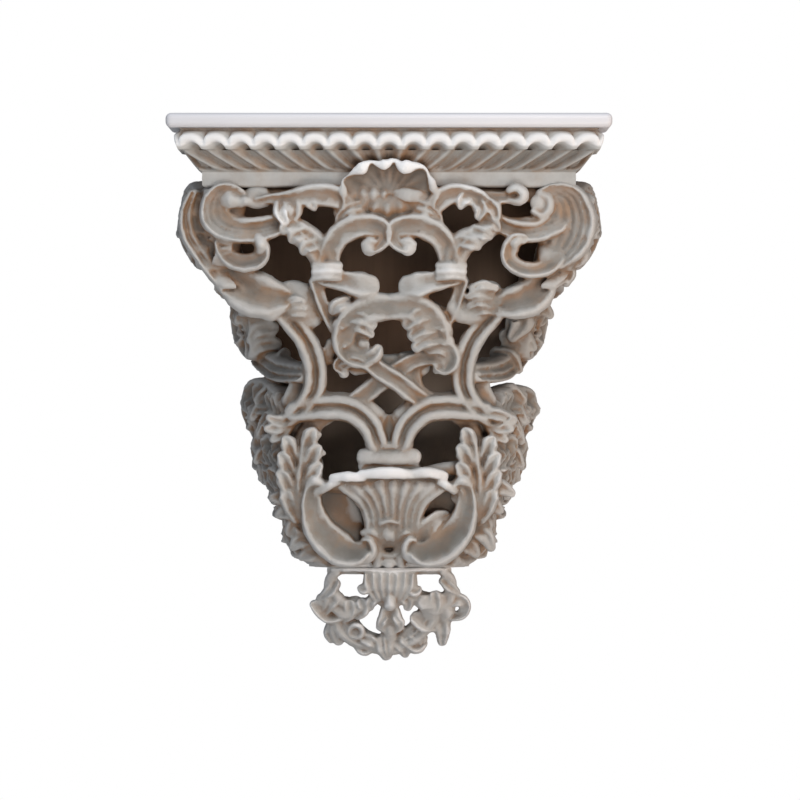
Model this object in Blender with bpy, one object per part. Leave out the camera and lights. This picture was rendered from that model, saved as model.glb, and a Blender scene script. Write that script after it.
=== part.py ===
# Carved wall bracket: a pierced, painted console that hangs on a wall and carries a small board.
# The front faces -Y, the wall is the plane y = 0 and the origin lies on the flat back, half-way up.
# Every size is in millimetres; MM turns it into metres where a mesh is made.

import math

import bmesh
import bpy
import numpy as np

MM = 0.001
GAP = 0.3  # what is left between two pieces that touch

# Top board
BOARD_WIDTH = 445.0
BOARD_DEPTH = 254.0
BOARD_THICKNESS = 14.5
BOARD_TOP = 277.0
BOARD_EDGE = 3.0

# Cornice: a swept cyma with twisted leaves over a plain fillet
FILLET_HALF_WIDTH = 187.0
FILLET_FACE = 218.0
CORNICE_TOP = BOARD_TOP - BOARD_THICKNESS - GAP
CORNICE_BOTTOM = 203.0
CORNICE_WALL = 20.0
LEAF_PITCH = 24.5
LEAF_LEAN = 18.0
FADE = 60.0  # how far from the middle and from the wall the leaves stand upright again
# height above the cornice's foot, reach beyond the fillet, depth between leaves, share of the lean
CORNICE_ROWS = (
    (CORNICE_TOP - CORNICE_BOTTOM - GAP / 2, 25.0, 0.0, 0.0),
    (55.0, 26.0, 3.0, 0.0),
    (47.0, 25.5, 9.0, 0.15),
    (40.0, 20.5, 11.0, 0.4),
    (29.0, 12.0, 8.0, 0.75),
    (19.0, 4.0, 3.0, 1.0),
    (17.0, 0.0, 0.0, 0.0),
    (3.0, 0.0, 0.0, 0.0),
    (0.0, -4.0, 0.0, 0.0),
)

# Carcass of the carved body and pendant, by height above the origin
FRONT_DEPTH = (
    (277, 218), (200, 216), (160, 214), (120, 204), (90, 192), (60, 176), (20, 158), (-20, 148),
    (-60, 142), (-100, 134), (-130, 124), (-160, 108), (-178, 97), (-200, 82), (-225, 60),
    (-250, 38), (-280, 18),
)
CORNER_HALF = (
    (277, 184), (203, 184), (150, 174), (110, 152), (80, 122), (60, 104), (20, 86), (-10, 90),
    (-40, 104), (-80, 106), (-110, 90), (-140, 80), (-178, 60), (-280, 36),
)
REAR_HALF = (
    (277, 186), (203, 187), (160, 196), (120, 174), (90, 146), (60, 142), (20, 130), (-20, 138),
    (-60, 126), (-100, 109), (-130, 98), (-178, 82), (-280, 36),
)
LOWER_CURL_TOP = {-1: 0.0, 1: -7.0}  # where the flank's lower scroll turns, left and right
FRONT_BOW = 8.0  # how much the front falls back from the middle to its corners
SEAM = -178.0

# Back board, closing the body and the cornice behind
BACK_THICKNESS = 12.0
BACK_OUTLINE = (
    (262, 166), (190, 164), (160, 168), (120, 150), (90, 126), (60, 120), (28, 108), (8, 94), (-14, 104),
    (-60, 104), (-100, 88), (-130, 76), (-165, 60),
)

BODY_VOXEL = 3.0
BODY_FACES = 6200
PENDANT_VOXEL = 2.6
PENDANT_FACES = 1300

# Cross-sections of a carved bar: place across the bar, then height above its bed
ROLL = ((-1.0, 0.0), (-0.72, 0.66), (0.0, 1.0), (0.72, 0.66), (1.0, 0.0))
STRAP = ((-1.0, 0.2), (-0.9, 0.95), (-0.6, 0.95), (0.0, 0.5), (0.6, 0.95), (0.9, 0.95), (1.0, 0.2))
TROUGH = ((-1.0, 0.5), (-0.85, 1.0), (-0.4, 0.5), (0.4, 0.5), (0.85, 1.0), (1.0, 0.5))


def clear_scene():
    for item in list(bpy.data.objects):
        bpy.data.objects.remove(item, do_unlink=True)


def level(stations, z):
    """The value of a carcass curve at height z."""
    heights = [s[0] for s in reversed(stations)]
    values = [s[1] for s in reversed(stations)]
    return float(np.interp(z, heights, values))


def smooth_path(points, steps):
    """A Catmull-Rom curve through the points, steps samples to each stretch."""
    p = [np.array(q, float) for q in points]
    p = [2 * p[0] - p[1]] + p + [2 * p[-1] - p[-2]]
    curve = []
    for a, b, c, d in zip(p, p[1:], p[2:], p[3:]):
        for i in range(steps):
            t = i / steps
            curve.append(0.5 * (2 * b + (c - a) * t + (2 * a - 5 * b + 4 * c - d) * t ** 2
                                + (3 * b - a - 3 * c + d) * t ** 3))
    return curve + [p[-2]]


def front(side):
    """A map from (x, z, stand-off) on the front to a point and the way out of the surface."""
    def place(x, z, out):
        corner = level(CORNER_HALF, z)
        bow = FRONT_BOW * min(1.0, abs(x) / corner) ** 2
        return np.array((side * x, bow - level(FRONT_DEPTH, z) - out, z)), np.array((0.0, -1.0, 0.0))
    return place


def flank(side):
    """A map from (distance from the wall, z, stand-off) on a side to a point and the way out."""
    def place(run, z, out):
        corner = np.array((level(CORNER_HALF, z), FRONT_BOW - level(FRONT_DEPTH, z)))
        rear = np.array((level(REAR_HALF, z), 0.0))
        along = (corner - rear) / np.linalg.norm(corner - rear)
        away = np.array((-along[1], along[0]))
        spot = rear + along * run + away * out
        return np.array((side * spot[0], spot[1], z)), np.array((side * away[0], away[1], 0.0))
    return place


def spread(values, count):
    """Count values, evenly read from a few."""
    if not isinstance(values, tuple):
        values = (values,)
    return np.interp(np.linspace(0, 1, count), np.linspace(0, 1, len(values)), values)


def skin(bm, rings):
    """Closes a row of rings into one tube with flat ends."""
    for one, two in zip(rings, rings[1:]):
        for j in range(len(one)):
            k = (j + 1) % len(one)
            bm.faces.new((one[j], one[k], two[k], two[j]))
    bm.faces.new(list(reversed(rings[0])))
    bm.faces.new(rings[-1])


def bar(bm, place, points, width, height, back=9.0, section=ROLL, steps=3):
    """One carved bar: a section swept along points that lie on the front or a flank."""
    flat = smooth_path([tuple(p) + (0.0,) * (3 - len(p)) for p in points], steps)
    spots = [place(*p) for p in flat]
    widths = spread(width, len(spots))
    heights = spread(height, len(spots))
    rings = []
    for i, (spot, away) in enumerate(spots):
        ahead = spots[min(i + 1, len(spots) - 1)][0] - spots[max(i - 1, 0)][0]
        across = np.cross(ahead, away)
        across /= max(np.linalg.norm(across), 1e-9)
        outline = [spot + across * u * widths[i] / 2 + away * h * heights[i] for u, h in section]
        outline += [spot + across * u * widths[i] / 2 - away * back for u in (0.85, -0.85)]
        rings.append([bm.verts.new(q * MM) for q in outline])
    skin(bm, rings)


def knob(bm, place, spot, radius, height=1.0):
    """A rounded boss or the eye of a scroll."""
    centre, away = place(*spot)
    made = bmesh.ops.create_icosphere(bm, subdivisions=2, radius=radius * MM)
    for v in made["verts"]:
        along = np.array(v.co) @ away
        v.co = tuple(np.array(v.co) + away * along * (height - 1.0) + centre * MM)


def leaf(bm, place, spine, reach, lobes, sides=(-1, 1), height=11.0, back=8.0, lift=4.0, sweep=0.7):
    """An acanthus leaf: a rib with overlapping curled lobes to one or both sides."""
    curve = smooth_path([tuple(p) + (0.0,) * (3 - len(p)) for p in spine], 4)
    length = sum(float(np.linalg.norm(b[:2] - a[:2])) for a, b in zip(curve, curve[1:]))
    spacing = length / lobes
    bar(bm, place, spine, (reach * 0.45, reach * 0.5, reach * 0.25),
        (height, height * 1.1, height * 0.6), back)
    for i in range(lobes):
        share = (i + 0.3) / lobes
        at = int(share * (len(curve) - 2))
        root = curve[at]
        ahead = curve[at + 1] - curve[at]
        ahead = ahead[:2] / max(np.linalg.norm(ahead[:2]), 1e-9)
        size = reach * (0.6 + 0.4 * math.sin(math.pi * (0.2 + 0.7 * share)))
        for s in sides:
            across = np.array((-ahead[1], ahead[0])) * s
            mid = root[:2] + (across * 0.6 + ahead * 0.3 * sweep) * size
            tip = root[:2] + (across * 0.95 + ahead * sweep) * size
            stroke = [tuple(root), (*mid, root[2] + lift * 0.4), (*tip, root[2] + lift)]
            bar(bm, place, stroke, (spacing * 0.9, spacing * 1.15, spacing * 0.4),
                (height * 0.7, height * 0.8, height * 0.4), back, ROLL, 2)


def fan(bm, place, hinge, ribs, degrees, reach, rise, width, height, back=6.0):
    """A shell: ribs that spread from a hinge, reach and rise being functions of the rib's share."""
    for i in range(ribs):
        share = i / (ribs - 1)
        angle = math.radians(degrees[0] + (degrees[1] - degrees[0]) * share)
        length = reach(share)
        aim = np.array((math.cos(angle), math.sin(angle)))
        start = np.array(hinge[:2]) + aim * length * 0.12
        middle = np.array(hinge[:2]) + aim * length * 0.6
        end = np.array(hinge[:2]) + aim * length
        stroke = [(*start, hinge[2]), (*middle, hinge[2] + rise * 0.35), (*end, hinge[2] + rise)]
        bar(bm, place, stroke, (width * 0.35, width * 0.8, width),
            (height * 0.6, height, height), back, ROLL, 2)


def corner_scroll(bm, side):
    """The broad C-scroll that turns each upper corner, with its eye, its ring and the trough inside it."""
    place = front(side)
    bar(bm, place, [(150, 190, 6), (155, 200, 8), (168, 199, 8), (182, 188, 4), (188, 172, 0),
        (184, 154, 0), (171, 137, 0), (157, 121, 2), (142, 113, 4), (129, 120, 4), (123, 136, 6),
        (129, 149, 8)], (9, 16, 28, 40, 44, 44, 38, 26, 18, 14, 12, 13),
        (10, 14, 16, 18, 18, 17, 15, 14, 12), 14)
    knob(bm, place, (150, 192, 12), 9)
    bar(bm, place, [(172, 172, -6), (152, 166, -6), (126, 164, -4), (98, 170, 0), (84, 176, 0)],
        (34, 34, 30, 22, 16), (12, 13, 13, 10), 8, TROUGH)
    bar(bm, place, [(172, 192, -6), (164, 180, -8), (156, 168, -8)], 30, 6, 8)
    bar(bm, place, [(166, 160, -6), (160, 142, -6), (154, 126, -6)], 22, 6, 8)


def upper_leaves(bm, side):
    """The curl, the crest and the slanting acanthus between corner scroll and heart."""
    place = front(side)
    bar(bm, place, [(124, 190, 8), (131, 197, 6), (122, 200, 4), (106, 192, 4), (90, 193, 6),
        (70, 200, 8), (52, 199, 8), (42, 188, 4), (40, 172, 2)], (10, 12, 15, 15, 17, 17, 15, 13),
        (11, 13, 13, 13, 11), 10)
    leaf(bm, place, [(96, 188, 4), (94, 172, 4), (82, 156, 3), (74, 140, 2), (68, 122, 0)], 19, 4,
        (-1, 1), 13, 10, 6, 0.5)
    bar(bm, place, [(74, 198, 4), (68, 188, 6), (60, 183, 6)], (14, 11, 6), (11, 9, 5), 6)
    bar(bm, place, [(100, 186, 6), (107, 178, 10), (103, 170, 8)], (12, 14, 8), (10, 13, 8), 9)


def heart(bm, side):
    """Half of the heart: a C-scroll with its knob, collar and lower lobe."""
    place = front(side)
    bar(bm, place, [(18, 140, 8), (6, 145, 6), (3, 157, 4), (13, 167, 4), (30, 168, 4), (47, 161, 3),
        (58, 146, 2), (62, 130, 2), (61, 112, 2)], (10, 12, 15, 19, 21, 21, 20, 18),
        (12, 14, 14, 13, 12), 11)
    knob(bm, place, (19, 143, 8), 9)
    for z in (124, 117):
        bar(bm, place, [(46, z, 8), (60, z, 11), (74, z, 8)], 7.5, 9, 11)
    bar(bm, place, [(60, 112, 2), (50, 105, 4), (35, 104, 6), (20, 108, 6), (10, 113, 4)],
        (14, 24, 26, 16, 7), (12, 15, 10), 10)
    bar(bm, place, [(62, 112, 0), (69, 98, 0), (67, 82, 0), (58, 66, 0), (51, 50, 0)],
        (16, 18, 18, 17), 12, 10)


def leaf_scroll(bm, side, fingers):
    """The pair of leafy scrolls under the heart, each with fingers that reach to the middle."""
    place = front(side)
    bar(bm, place, [(0, 88, 4), (18, 85, 5), (34, 77, 6), (45, 63, 6), (49, 48, 6), (45, 37, 6),
        (34, 31, 7), (19, 34, 8), (12, 43, 9)], (20, 24, 25, 22, 18, 15, 13, 12),
        (12, 14, 14, 13, 12), 11)
    bar(bm, place, [(40, 66, -4), (36, 50, -4), (30, 38, -4)], 26, 8, 8)
    for root, tip, width in fingers:
        middle = ((root[0] + tip[0]) / 2, (root[1] + tip[1]) / 2 + 3, 9)
        bar(bm, place, [(*root, 5), middle, (*tip, 10)], (width, width, width * 0.6), (11, 13, 9), 9)
    knob(bm, place, (25, 49, 6), 8)


def belly_leaves(bm, side):
    """The broad leaves that hang below the big upper opening."""
    place = front(side)
    leaf(bm, place, [(70, 114, 0), (80, 100, 2), (92, 90, 4), (104, 82, 6)], 22, 3,
        (-1, 1), 13, 10, 3, 0.8)
    leaf(bm, place, [(66, 104, -3), (70, 86, -2), (78, 68, 0)], 20, 3, (-1, 1), 11, 10, 3, 0.8)
    bar(bm, place, [(164, 118, -4), (152, 101, 0), (136, 93, 4), (116, 93, 4), (96, 100, 0)],
        (26, 38, 40, 36, 26), (10, 14, 15, 13), 11)
    bar(bm, place, [(152, 92, 4), (140, 81, 6), (122, 76, 7), (106, 80, 6)], (8, 10, 10, 8), 9, 10)


def ogee_strap(bm, side):
    """The grooved strap that bends in along each front corner."""
    place = front(side)
    bar(bm, place, [(112, 80, 2), (100, 66, 2), (87, 48, 2), (79, 28, 2), (79, 8, 2), (87, -12, 2),
        (100, -27, 2), (118, -37, 0)], (18, 21, 22, 21, 21, 20, 16), (12, 14, 14, 12), 13, STRAP)


def arch(bm, side):
    """A moulded arch that runs in from the corner and turns down on to the capital block."""
    place = front(side)
    bar(bm, place, [(100, -24, 0), (78, -21, 1), (50, -20, 2), (30, -25, 2), (17, -38, 2),
        (11, -56, 2)], (20, 23, 24, 24, 22), (11, 13, 14, 13), 13, STRAP)
    bar(bm, place, [(96, -30, -8), (82, -44, -10), (76, -62, -10), (78, -84, -8)], 16, 8, 8)


def crossing(bm, side, over):
    """One of the two straps that cross over the diamond opening, with the small volute it starts from."""
    place = front(side)
    stand_off = 8 if over else 1
    bar(bm, place, [(47, 14, 6), (53, 20, 6), (44, 27, 7), (28, 28, stand_off), (12, 20, stand_off),
        (-4, 9, stand_off), (-18, -4, stand_off), (-36, -16, 2)], (8, 9, 10, 15, 18, 19, 19),
        (9, 9, 12, 13, 13), 9, ROLL)
    knob(bm, place, (45, 14, 6), 6.5)
    bar(bm, place, [(78, 4, -2), (64, -8, -2), (42, -14, 0)], (16, 15, 12), 9, 10)


def capital(bm):
    """The block on which both arches stand."""
    place = front(1)
    for z, half, thick, out in ((-53, 20, 9, 6), (-62, 25, 12, 6), (-72, 30, 13, 8), (-78, 33, 8, 12)):
        bar(bm, place, [(-half, z, out), (0, z, out + 2), (half, z, out)], thick, 10, 14)


def urn(bm):
    """The fluted urn: rim, flutes, curled ends, and the boss and bead below it."""
    place = front(1)
    rim = ((-64, -95, 10), (-46, -87, 16), (-27, -85, 20), (0, -82, 22), (26, -83, 20), (44, -86, 16),
        (62, -94, 10))
    for one, two in zip(rim, rim[1:]):
        bar(bm, place, [one, tuple((p + q) / 2 + s for p, q, s in zip(one, two, (0, 2, 3))), two],
            (8, 12, 8), (9, 12, 9), 12, ROLL, 2)
    flutes = 11
    for i in range(flutes):
        s = 2 * i / (flutes - 1) - 1
        bar(bm, place, [(62 * s, -91 - 4 * abs(s), 12), (42 * s, -104, 4), (30 * s, -118, 4),
            (28 * s, -138, 9)], (12, 9, 7, 7), (7, 9, 9, 9), 14, ROLL)
    knob(bm, place, (0, -143, 12), 10)
    bar(bm, place, [(-26, -139, 6), (0, -134, 8), (26, -139, 6)], 11, 10, 12)
    for x in (-9, 9):
        bar(bm, place, [(x * 1.2, -148, 4), (x, -160, 4), (x * 0.6, -178, 4)], 9, 10, 14)
    knob(bm, place, (0, -172, 10), 7)
    bar(bm, place, [(-56, -172, -6), (0, -172, -4), (56, -172, -6)], 18, 8, 16)


def urn_scroll(bm, side):
    """The big C-scroll beside the urn, from the curl at its rim to the volute at its foot."""
    place = front(side)
    bar(bm, place, [(64, -97, 10), (70, -90, 12), (80, -92, 10), (83, -103, 8), (77, -115, 8),
        (73, -130, 8), (66, -146, 10), (53, -158, 12), (36, -164, 12), (20, -164, 12), (14, -154, 13),
        (20, -148, 14)], (8, 10, 13, 16, 19, 21, 24, 25, 20, 15, 11), (10, 13, 15, 17, 17, 15), 15)
    knob(bm, place, (27, -157, 12), 10.5)
    bar(bm, place, [(66, -112, -14), (56, -132, -14), (36, -146, -12)], 30, 6, 8)


def corner_leaf(bm, side):
    """The acanthus leaf that stands on each lower corner."""
    place = front(side)
    leaf(bm, place, [(88, -114, 2), (92, -94, 4), (91, -72, 4), (89, -54, 6), (87, -40, 8)], 26, 5,
        (-1, 1), 13, 16, 5, 0.9)


def flank_scroll(bm, place, points, width, height):
    """A scroll on the flank that ends in a rounded eye."""
    bar(bm, place, points, width, height, 12)
    knob(bm, place, (points[-1][0], points[-1][1], 6), width[-1] * 0.72)


def side_scrolls(bm, side):
    """The flank: scrolls above the waist, a strap across it, and leaves down to the jagged foot leaf."""
    place = flank(side)
    top = LOWER_CURL_TOP[side]
    bar(bm, place, [(216, 196), (108, 196), (4, 196)], 18, 6, 14)
    flank_scroll(bm, place, [(200, 180, 2), (160, 194, 4), (110, 196, 6), (52, 190, 8), (18, 172, 8),
        (14, 150, 6), (32, 134, 4), (56, 138, 6), (62, 154, 6)], (22, 24, 26, 28, 26, 22, 16, 12),
        (12, 15, 16, 14))
    leaf(bm, place, [(206, 160, 0), (168, 172, 2), (128, 168, 4), (92, 152, 6)], 24, 4, (-1, 1), 12, 12)
    bar(bm, place, [(200, 140), (160, 124, 2), (100, 116, 2), (40, 112, 2), (6, 104, 2)],
        (30, 26, 24, 26, 24), (12, 14, 12), 13)
    bar(bm, place, [(24, 140, 0), (14, 118, 2), (10, 96, 2)], (20, 24, 20), 12, 14)
    flank_scroll(bm, place, [(176, 96, 0), (130, 96, 2), (70, 92, 4), (24, 84, 6), (10, 62, 6),
        (22, 42, 4), (48, 40, 6), (54, 56, 6)], (22, 22, 22, 24, 22, 18, 12), (12, 14, 14, 12))
    leaf(bm, place, [(150, 84, 0), (118, 72, 2), (92, 64, 4), (76, 48, 4)], 18, 3, (-1, 1), 11, 12)
    bar(bm, place, [(146, 17, 1), (106, 18, 2), (70, 28, 2), (36, 44, 2)],
        (22, 22, 20, 18), 12, 13, STRAP)
    bar(bm, place, [(126, 6), (108, -10), (84, -14, 2), (56, -10, 4)], (14, 16, 18, 18), (9, 12, 12), 12)
    flank_scroll(bm, place, [(92, -8, 2), (56, top, 4), (20, top - 3, 8), (8, -30, 8), (22, -47, 6),
        (48, -46, 6), (58, -32, 6)], (18, 22, 26, 26, 22, 16, 12), (12, 15, 15, 12))
    leaf(bm, place, [(132, -30, 0), (108, -22, 2), (86, -20, 4), (70, -26, 6)], 17, 3, (-1, 1), 11, 12)
    knob(bm, place, (34, -24, 6), 12)
    flank_scroll(bm, place, [(134, -56, 0), (90, -54, 2), (44, -54, 4), (14, -64, 6), (14, -82, 6),
        (36, -88, 6), (50, -76, 6)], (22, 20, 20, 20, 18, 14, 11), (11, 14, 12))
    leaf(bm, place, [(124, -82, 0), (98, -78, 2), (74, -86, 4), (50, -98, 4)], 18, 3, (-1, 1), 11, 12)
    leaf(bm, place, [(118, -106, 0), (86, -106, 2), (54, -112, 4), (30, -126, 4), (20, -146, 4)], 24, 5,
        (-1, 1), 12, 13, 6, 0.5)
    bar(bm, place, [(104, -134, 0), (66, -138, 0), (30, -142, 0), (12, -140, 2)], (26, 26, 24, 12),
        (10, 12, 8), 12)
    bar(bm, place, [(100, -166, 0), (64, -168, 0), (30, -162, 2), (8, -152, 4)], (20, 20, 20, 14),
        (10, 12, 8), 13)


def stray_tips(bm):
    """The leaf tips that stand out on the right flank alone."""
    place = flank(1)
    for z in (-98, -154):
        bar(bm, place, [(44, z, 0), (18, z - 6, 7), (6, z - 9, 11)], (18, 15, 8), (12, 10, 6), 12)


def shell(bm):
    """The shell cresting that stands in front of the cornice, with the lip and small beads below it."""
    place = front(1)

    def reach(share):
        angle = math.radians(186 - 192 * share)
        return (abs(math.cos(angle) / 47) ** 2.6 + abs(math.sin(angle) / 37) ** 2.6) ** (-1 / 2.6)

    ribs = 11
    fan(bm, place, (0, 194, 12), ribs, (186, -6), reach, 15, 12, 8, 6)
    for i in range(ribs):
        angle = math.radians(186 - 192 * i / (ribs - 1))
        r = reach(i / (ribs - 1)) + 1
        knob(bm, place, (r * math.cos(angle), 194 + r * math.sin(angle), 28 + i % 2), 6.5 + i % 2)
    bar(bm, place, [(-46, 190, 4), (-22, 190, 12), (0, 191, 14), (22, 190, 12), (46, 190, 4)],
        (12, 16, 17, 16, 12), 9, 14)
    bar(bm, place, [(-36, 178, 2), (0, 176, 6), (36, 178, 2)], (18, 24, 18), 9, 13)
    for i in range(7):
        x = -33 + 11 * i
        knob(bm, place, (x, 175 + 0.008 * x * x, 13), 6.5)


def add_box(bm, low, high):
    """A plain block between two corners."""
    made = bmesh.ops.create_cube(bm, size=1.0)
    for v in made["verts"]:
        for axis in range(3):
            v.co[axis] = (low[axis] if v.co[axis] < 0 else high[axis]) * MM


def rails(bm):
    """The plain rail under the fillet and the frame behind the urn that carries the pierced work."""
    place = front(1)
    bar(bm, place, [(-180, 196, -12), (-90, 196, -12), (0, 196, -12), (90, 196, -12),
        (180, 196, -12)], 14, 6, 10)
    bar(bm, place, [(-98, -90, -10), (-50, -96, -6), (0, -98, -6), (50, -96, -6),
        (98, -90, -10)], 14, 6, 8)
    bar(bm, place, [(0, 102, 0), (0, 86, 4), (0, 74, 2)], (14, 26, 18), 11, 10)
    foot = level(FRONT_DEPTH, SEAM)
    add_box(bm, (-56, 14 - foot, SEAM - 1), (56, -BACK_THICKNESS + 2, SEAM + 9))


def carved_strokes(bm):
    rails(bm)
    shell(bm)
    capital(bm)
    urn(bm)
    left_fingers = (((40, 72), (15, 64), 11), ((38, 62), (17, 57), 9), ((30, 30), (12, 40), 11))
    right_fingers = (((38, 74), (16, 65), 11), ((46, 54), (26, 51), 12), ((46, 36), (28, 38), 10),
        ((56, 26), (46, 17), 12))
    for side, fingers in ((-1, left_fingers), (1, right_fingers)):
        corner_scroll(bm, side)
        upper_leaves(bm, side)
        heart(bm, side)
        leaf_scroll(bm, side, fingers)
        belly_leaves(bm, side)
        ogee_strap(bm, side)
        arch(bm, side)
        crossing(bm, side, side < 0)
        urn_scroll(bm, side)
        corner_leaf(bm, side)
        side_scrolls(bm, side)
    stray_tips(bm)


def pendant_strokes(bm):
    """The pierced drop: two loops, a hanging leaf, a rosette, a hook and the tip leaves."""
    place = front(1)
    bar(bm, place, [(-60, -184, 0), (0, -186, 2), (60, -184, 0)], 15, 9, 22)
    for side in (-1, 1):
        half = front(side)
        bar(bm, half, [(58, -186, 0), (63, -197, 2), (60, -210, 2), (50, -218, 2), (36, -219, 2),
            (25, -211, 2)], (14, 14, 17, 20, 18, 14), (10, 12, 11), 16)
        bar(bm, half, [(22, -190, 4), (20, -202, 4), (14, -214, 4)], (18, 16, 12), 11, 16)
        bar(bm, half, [(46, -217, 2), (43, -232, 2), (31, -247, 2), (13, -258, 2)],
            (24, 24, 22, 18), 12, 18)
        bar(bm, half, [(12, -214, 4), (9, -230, 6), (7, -250, 4)], (15, 14, 14), 11, 16)
        bar(bm, half, [(26, -254, 2), (12, -264, 4), (2, -269, 2)], (16, 14, 9), 10, 18)
    leaf(bm, place, [(0, -184, 6), (0, -198, 9), (0, -212, 8)], 20, 3, (-1, 1), 12, 14, 3, 0.9)
    knob(bm, place, (-34, -249, 4), 11)
    knob(bm, place, (2, -231, 8), 9)
    knob(bm, place, (0, -252, 6), 9)
    bar(bm, place, [(-50, -228, 2), (-61, -234, 4), (-72, -229, 6), (-76, -222, 4)], (18, 16, 13, 8),
        (11, 11, 7), 14)
    bar(bm, place, [(-44, -232, 0), (-53, -247, 4), (-50, -259, 4)], (18, 16, 8), (11, 10, 6), 14)
    bar(bm, place, [(50, -214, 2), (64, -218, 4), (73, -224, 4), (64, -234, 2)], (18, 17, 12, 8),
        (11, 11, 7), 14)
    bar(bm, place, [(46, -229, 2), (54, -244, 4), (54, -261, 4)], (18, 16, 8), (11, 11, 6), 14)
    bar(bm, place, [(16, -254, 2), (28, -262, 4), (35, -259, 2)], (14, 12, 7), (11, 10, 6), 16)
    bar(bm, place, [(-4, -260, 2), (-6, -270, 4), (-5, -277, 2)], (16, 12, 7), (10, 9, 5), 18)


def material(name, colour, roughness):
    """A painted or stained finish; the colour is linear."""
    made = bpy.data.materials.new(name)
    made.use_nodes = True
    shader = made.node_tree.nodes["Principled BSDF"]
    shader.inputs["Base Color"].default_value = (*colour, 1.0)
    shader.inputs["Roughness"].default_value = roughness
    shader.inputs["Metallic"].default_value = 0.0
    return made


def piece(name, mesh, finish=None):
    made = bpy.data.objects.new(name, mesh)
    bpy.context.scene.collection.objects.link(made)
    if finish:
        made.data.materials.append(finish)
    return made


def mesh_from(bm, name):
    bmesh.ops.recalc_face_normals(bm, faces=bm.faces)
    mesh = bpy.data.meshes.new(name)
    bm.to_mesh(mesh)
    bm.free()
    return mesh


def cutter(name, mesh):
    made = piece(name, mesh)
    made.hide_render = True
    made.display_type = "WIRE"
    return made


def baked(thing):
    """The object's mesh with its modifiers applied, which then replaces both."""
    graph = bpy.context.evaluated_depsgraph_get()
    graph.update()
    mesh = bpy.data.meshes.new_from_object(thing.evaluated_get(graph))
    thing.modifiers.clear()
    thing.data = mesh


def keep_largest(thing):
    """Drops loose chips and the skins of closed pockets, so that one body is left."""
    bm = bmesh.new()
    bm.from_mesh(thing.data)
    left = set(bm.verts)
    groups = []
    while left:
        stack = [left.pop()]
        group = list(stack)
        while stack:
            for edge in stack.pop().link_edges:
                for v in edge.verts:
                    if v in left:
                        left.discard(v)
                        stack.append(v)
                        group.append(v)
        groups.append(group)
    groups.sort(key=len)
    for group in groups[:-1]:
        bmesh.ops.delete(bm, geom=group, context="VERTS")
    bm.to_mesh(thing.data)
    bm.free()


def fused(thing, voxel, faces):
    """The strokes made one skin, with as many triangles as asked for."""
    remesh = thing.modifiers.new("one skin", "REMESH")
    remesh.mode = "VOXEL"
    remesh.voxel_size = voxel * MM
    remesh.adaptivity = 0.0
    baked(thing)
    keep_largest(thing)
    fewer = thing.modifiers.new("fewer faces", "DECIMATE")
    fewer.ratio = min(1.0, faces / sum(len(p.vertices) - 2 for p in thing.data.polygons))
    fewer.use_collapse_triangulate = True
    baked(thing)


def cut(thing, tool):
    away = thing.modifiers.new("cut " + tool.name, "BOOLEAN")
    away.operation = "DIFFERENCE"
    away.solver = "EXACT"
    away.object = tool


def box_mesh(name, low, high):
    bm = bmesh.new()
    add_box(bm, low, high)
    return mesh_from(bm, name)


def board_outline(grow):
    """The back board's outline, from its top left round to its top right."""
    left = [(-half - grow, z) for z, half in BACK_OUTLINE]
    right = [(half + grow, z) for z, half in reversed(BACK_OUTLINE)]
    left[0] = (left[0][0], left[0][1] + grow)
    right[-1] = (right[-1][0], right[-1][1] + grow)
    left[-1] = (left[-1][0], left[-1][1] - grow)
    right[0] = (right[0][0], right[0][1] - grow)
    return left + right


def slab_mesh(name, outline, near, far):
    """A flat board whose outline lies in x and z, from y = near to y = far."""
    bm = bmesh.new()
    face = bm.faces.new([bm.verts.new((x * MM, near * MM, z * MM)) for x, z in outline])
    run = bmesh.ops.extrude_face_region(bm, geom=[face])
    moved = [v for v in run["geom"] if isinstance(v, bmesh.types.BMVert)]
    bmesh.ops.translate(bm, vec=(0, (far - near) * MM, 0), verts=moved)
    return mesh_from(bm, name)


def cornice_columns():
    """From left return to right return: foot, way out, lean of the leaves, crest or hollow."""
    half = FILLET_HALF_WIDTH
    side_steps = 2 * round(FILLET_FACE / LEAF_PITCH)
    front_steps = 2 * round(2 * half / LEAF_PITCH)
    columns = []
    for i in range(side_steps):
        y = -FILLET_FACE * i / side_steps
        columns.append(((-half, y), (-1.0, 0.0), (0.0, min(1.0, -y / FADE)), 1 - i % 2))
    columns.append(((-half, -FILLET_FACE), (-1.0, -1.0), (0.0, 0.0), 1))
    for i in range(1, front_steps):
        x = -half + 2 * half * i / front_steps
        columns.append(((x, -FILLET_FACE), (0.0, -1.0), (max(-1.0, min(1.0, -x / FADE)), 0.0), 1 - i % 2))
    columns.append(((half, -FILLET_FACE), (1.0, -1.0), (0.0, 0.0), 1))
    for i in range(side_steps - 1, -1, -1):
        y = -FILLET_FACE * i / side_steps
        columns.append(((half, y), (1.0, 0.0), (0.0, min(1.0, -y / FADE)), 1 - i % 2))
    return columns


def cornice_mesh(name):
    """The moulding swept round three sides, with a leaf at every second column."""
    bm = bmesh.new()
    foot = CORNICE_BOTTOM + GAP / 2
    rings = []
    for spot, away, lean, crest in cornice_columns():
        ring = []
        for rise, reach, depth, share in CORNICE_ROWS:
            stand = reach - depth * (1 - crest)
            x = spot[0] + away[0] * stand + lean[0] * LEAF_LEAN * share
            y = spot[1] + away[1] * stand + lean[1] * LEAF_LEAN * share
            ring.append((x, y, foot + rise))
        for z in (foot, CORNICE_TOP):
            ring.append((spot[0] - away[0] * CORNICE_WALL, spot[1] - away[1] * CORNICE_WALL, z))
        rings.append([bm.verts.new((x * MM, y * MM, z * MM)) for x, y, z in ring])
    skin(bm, rings)
    return mesh_from(bm, name)


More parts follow.
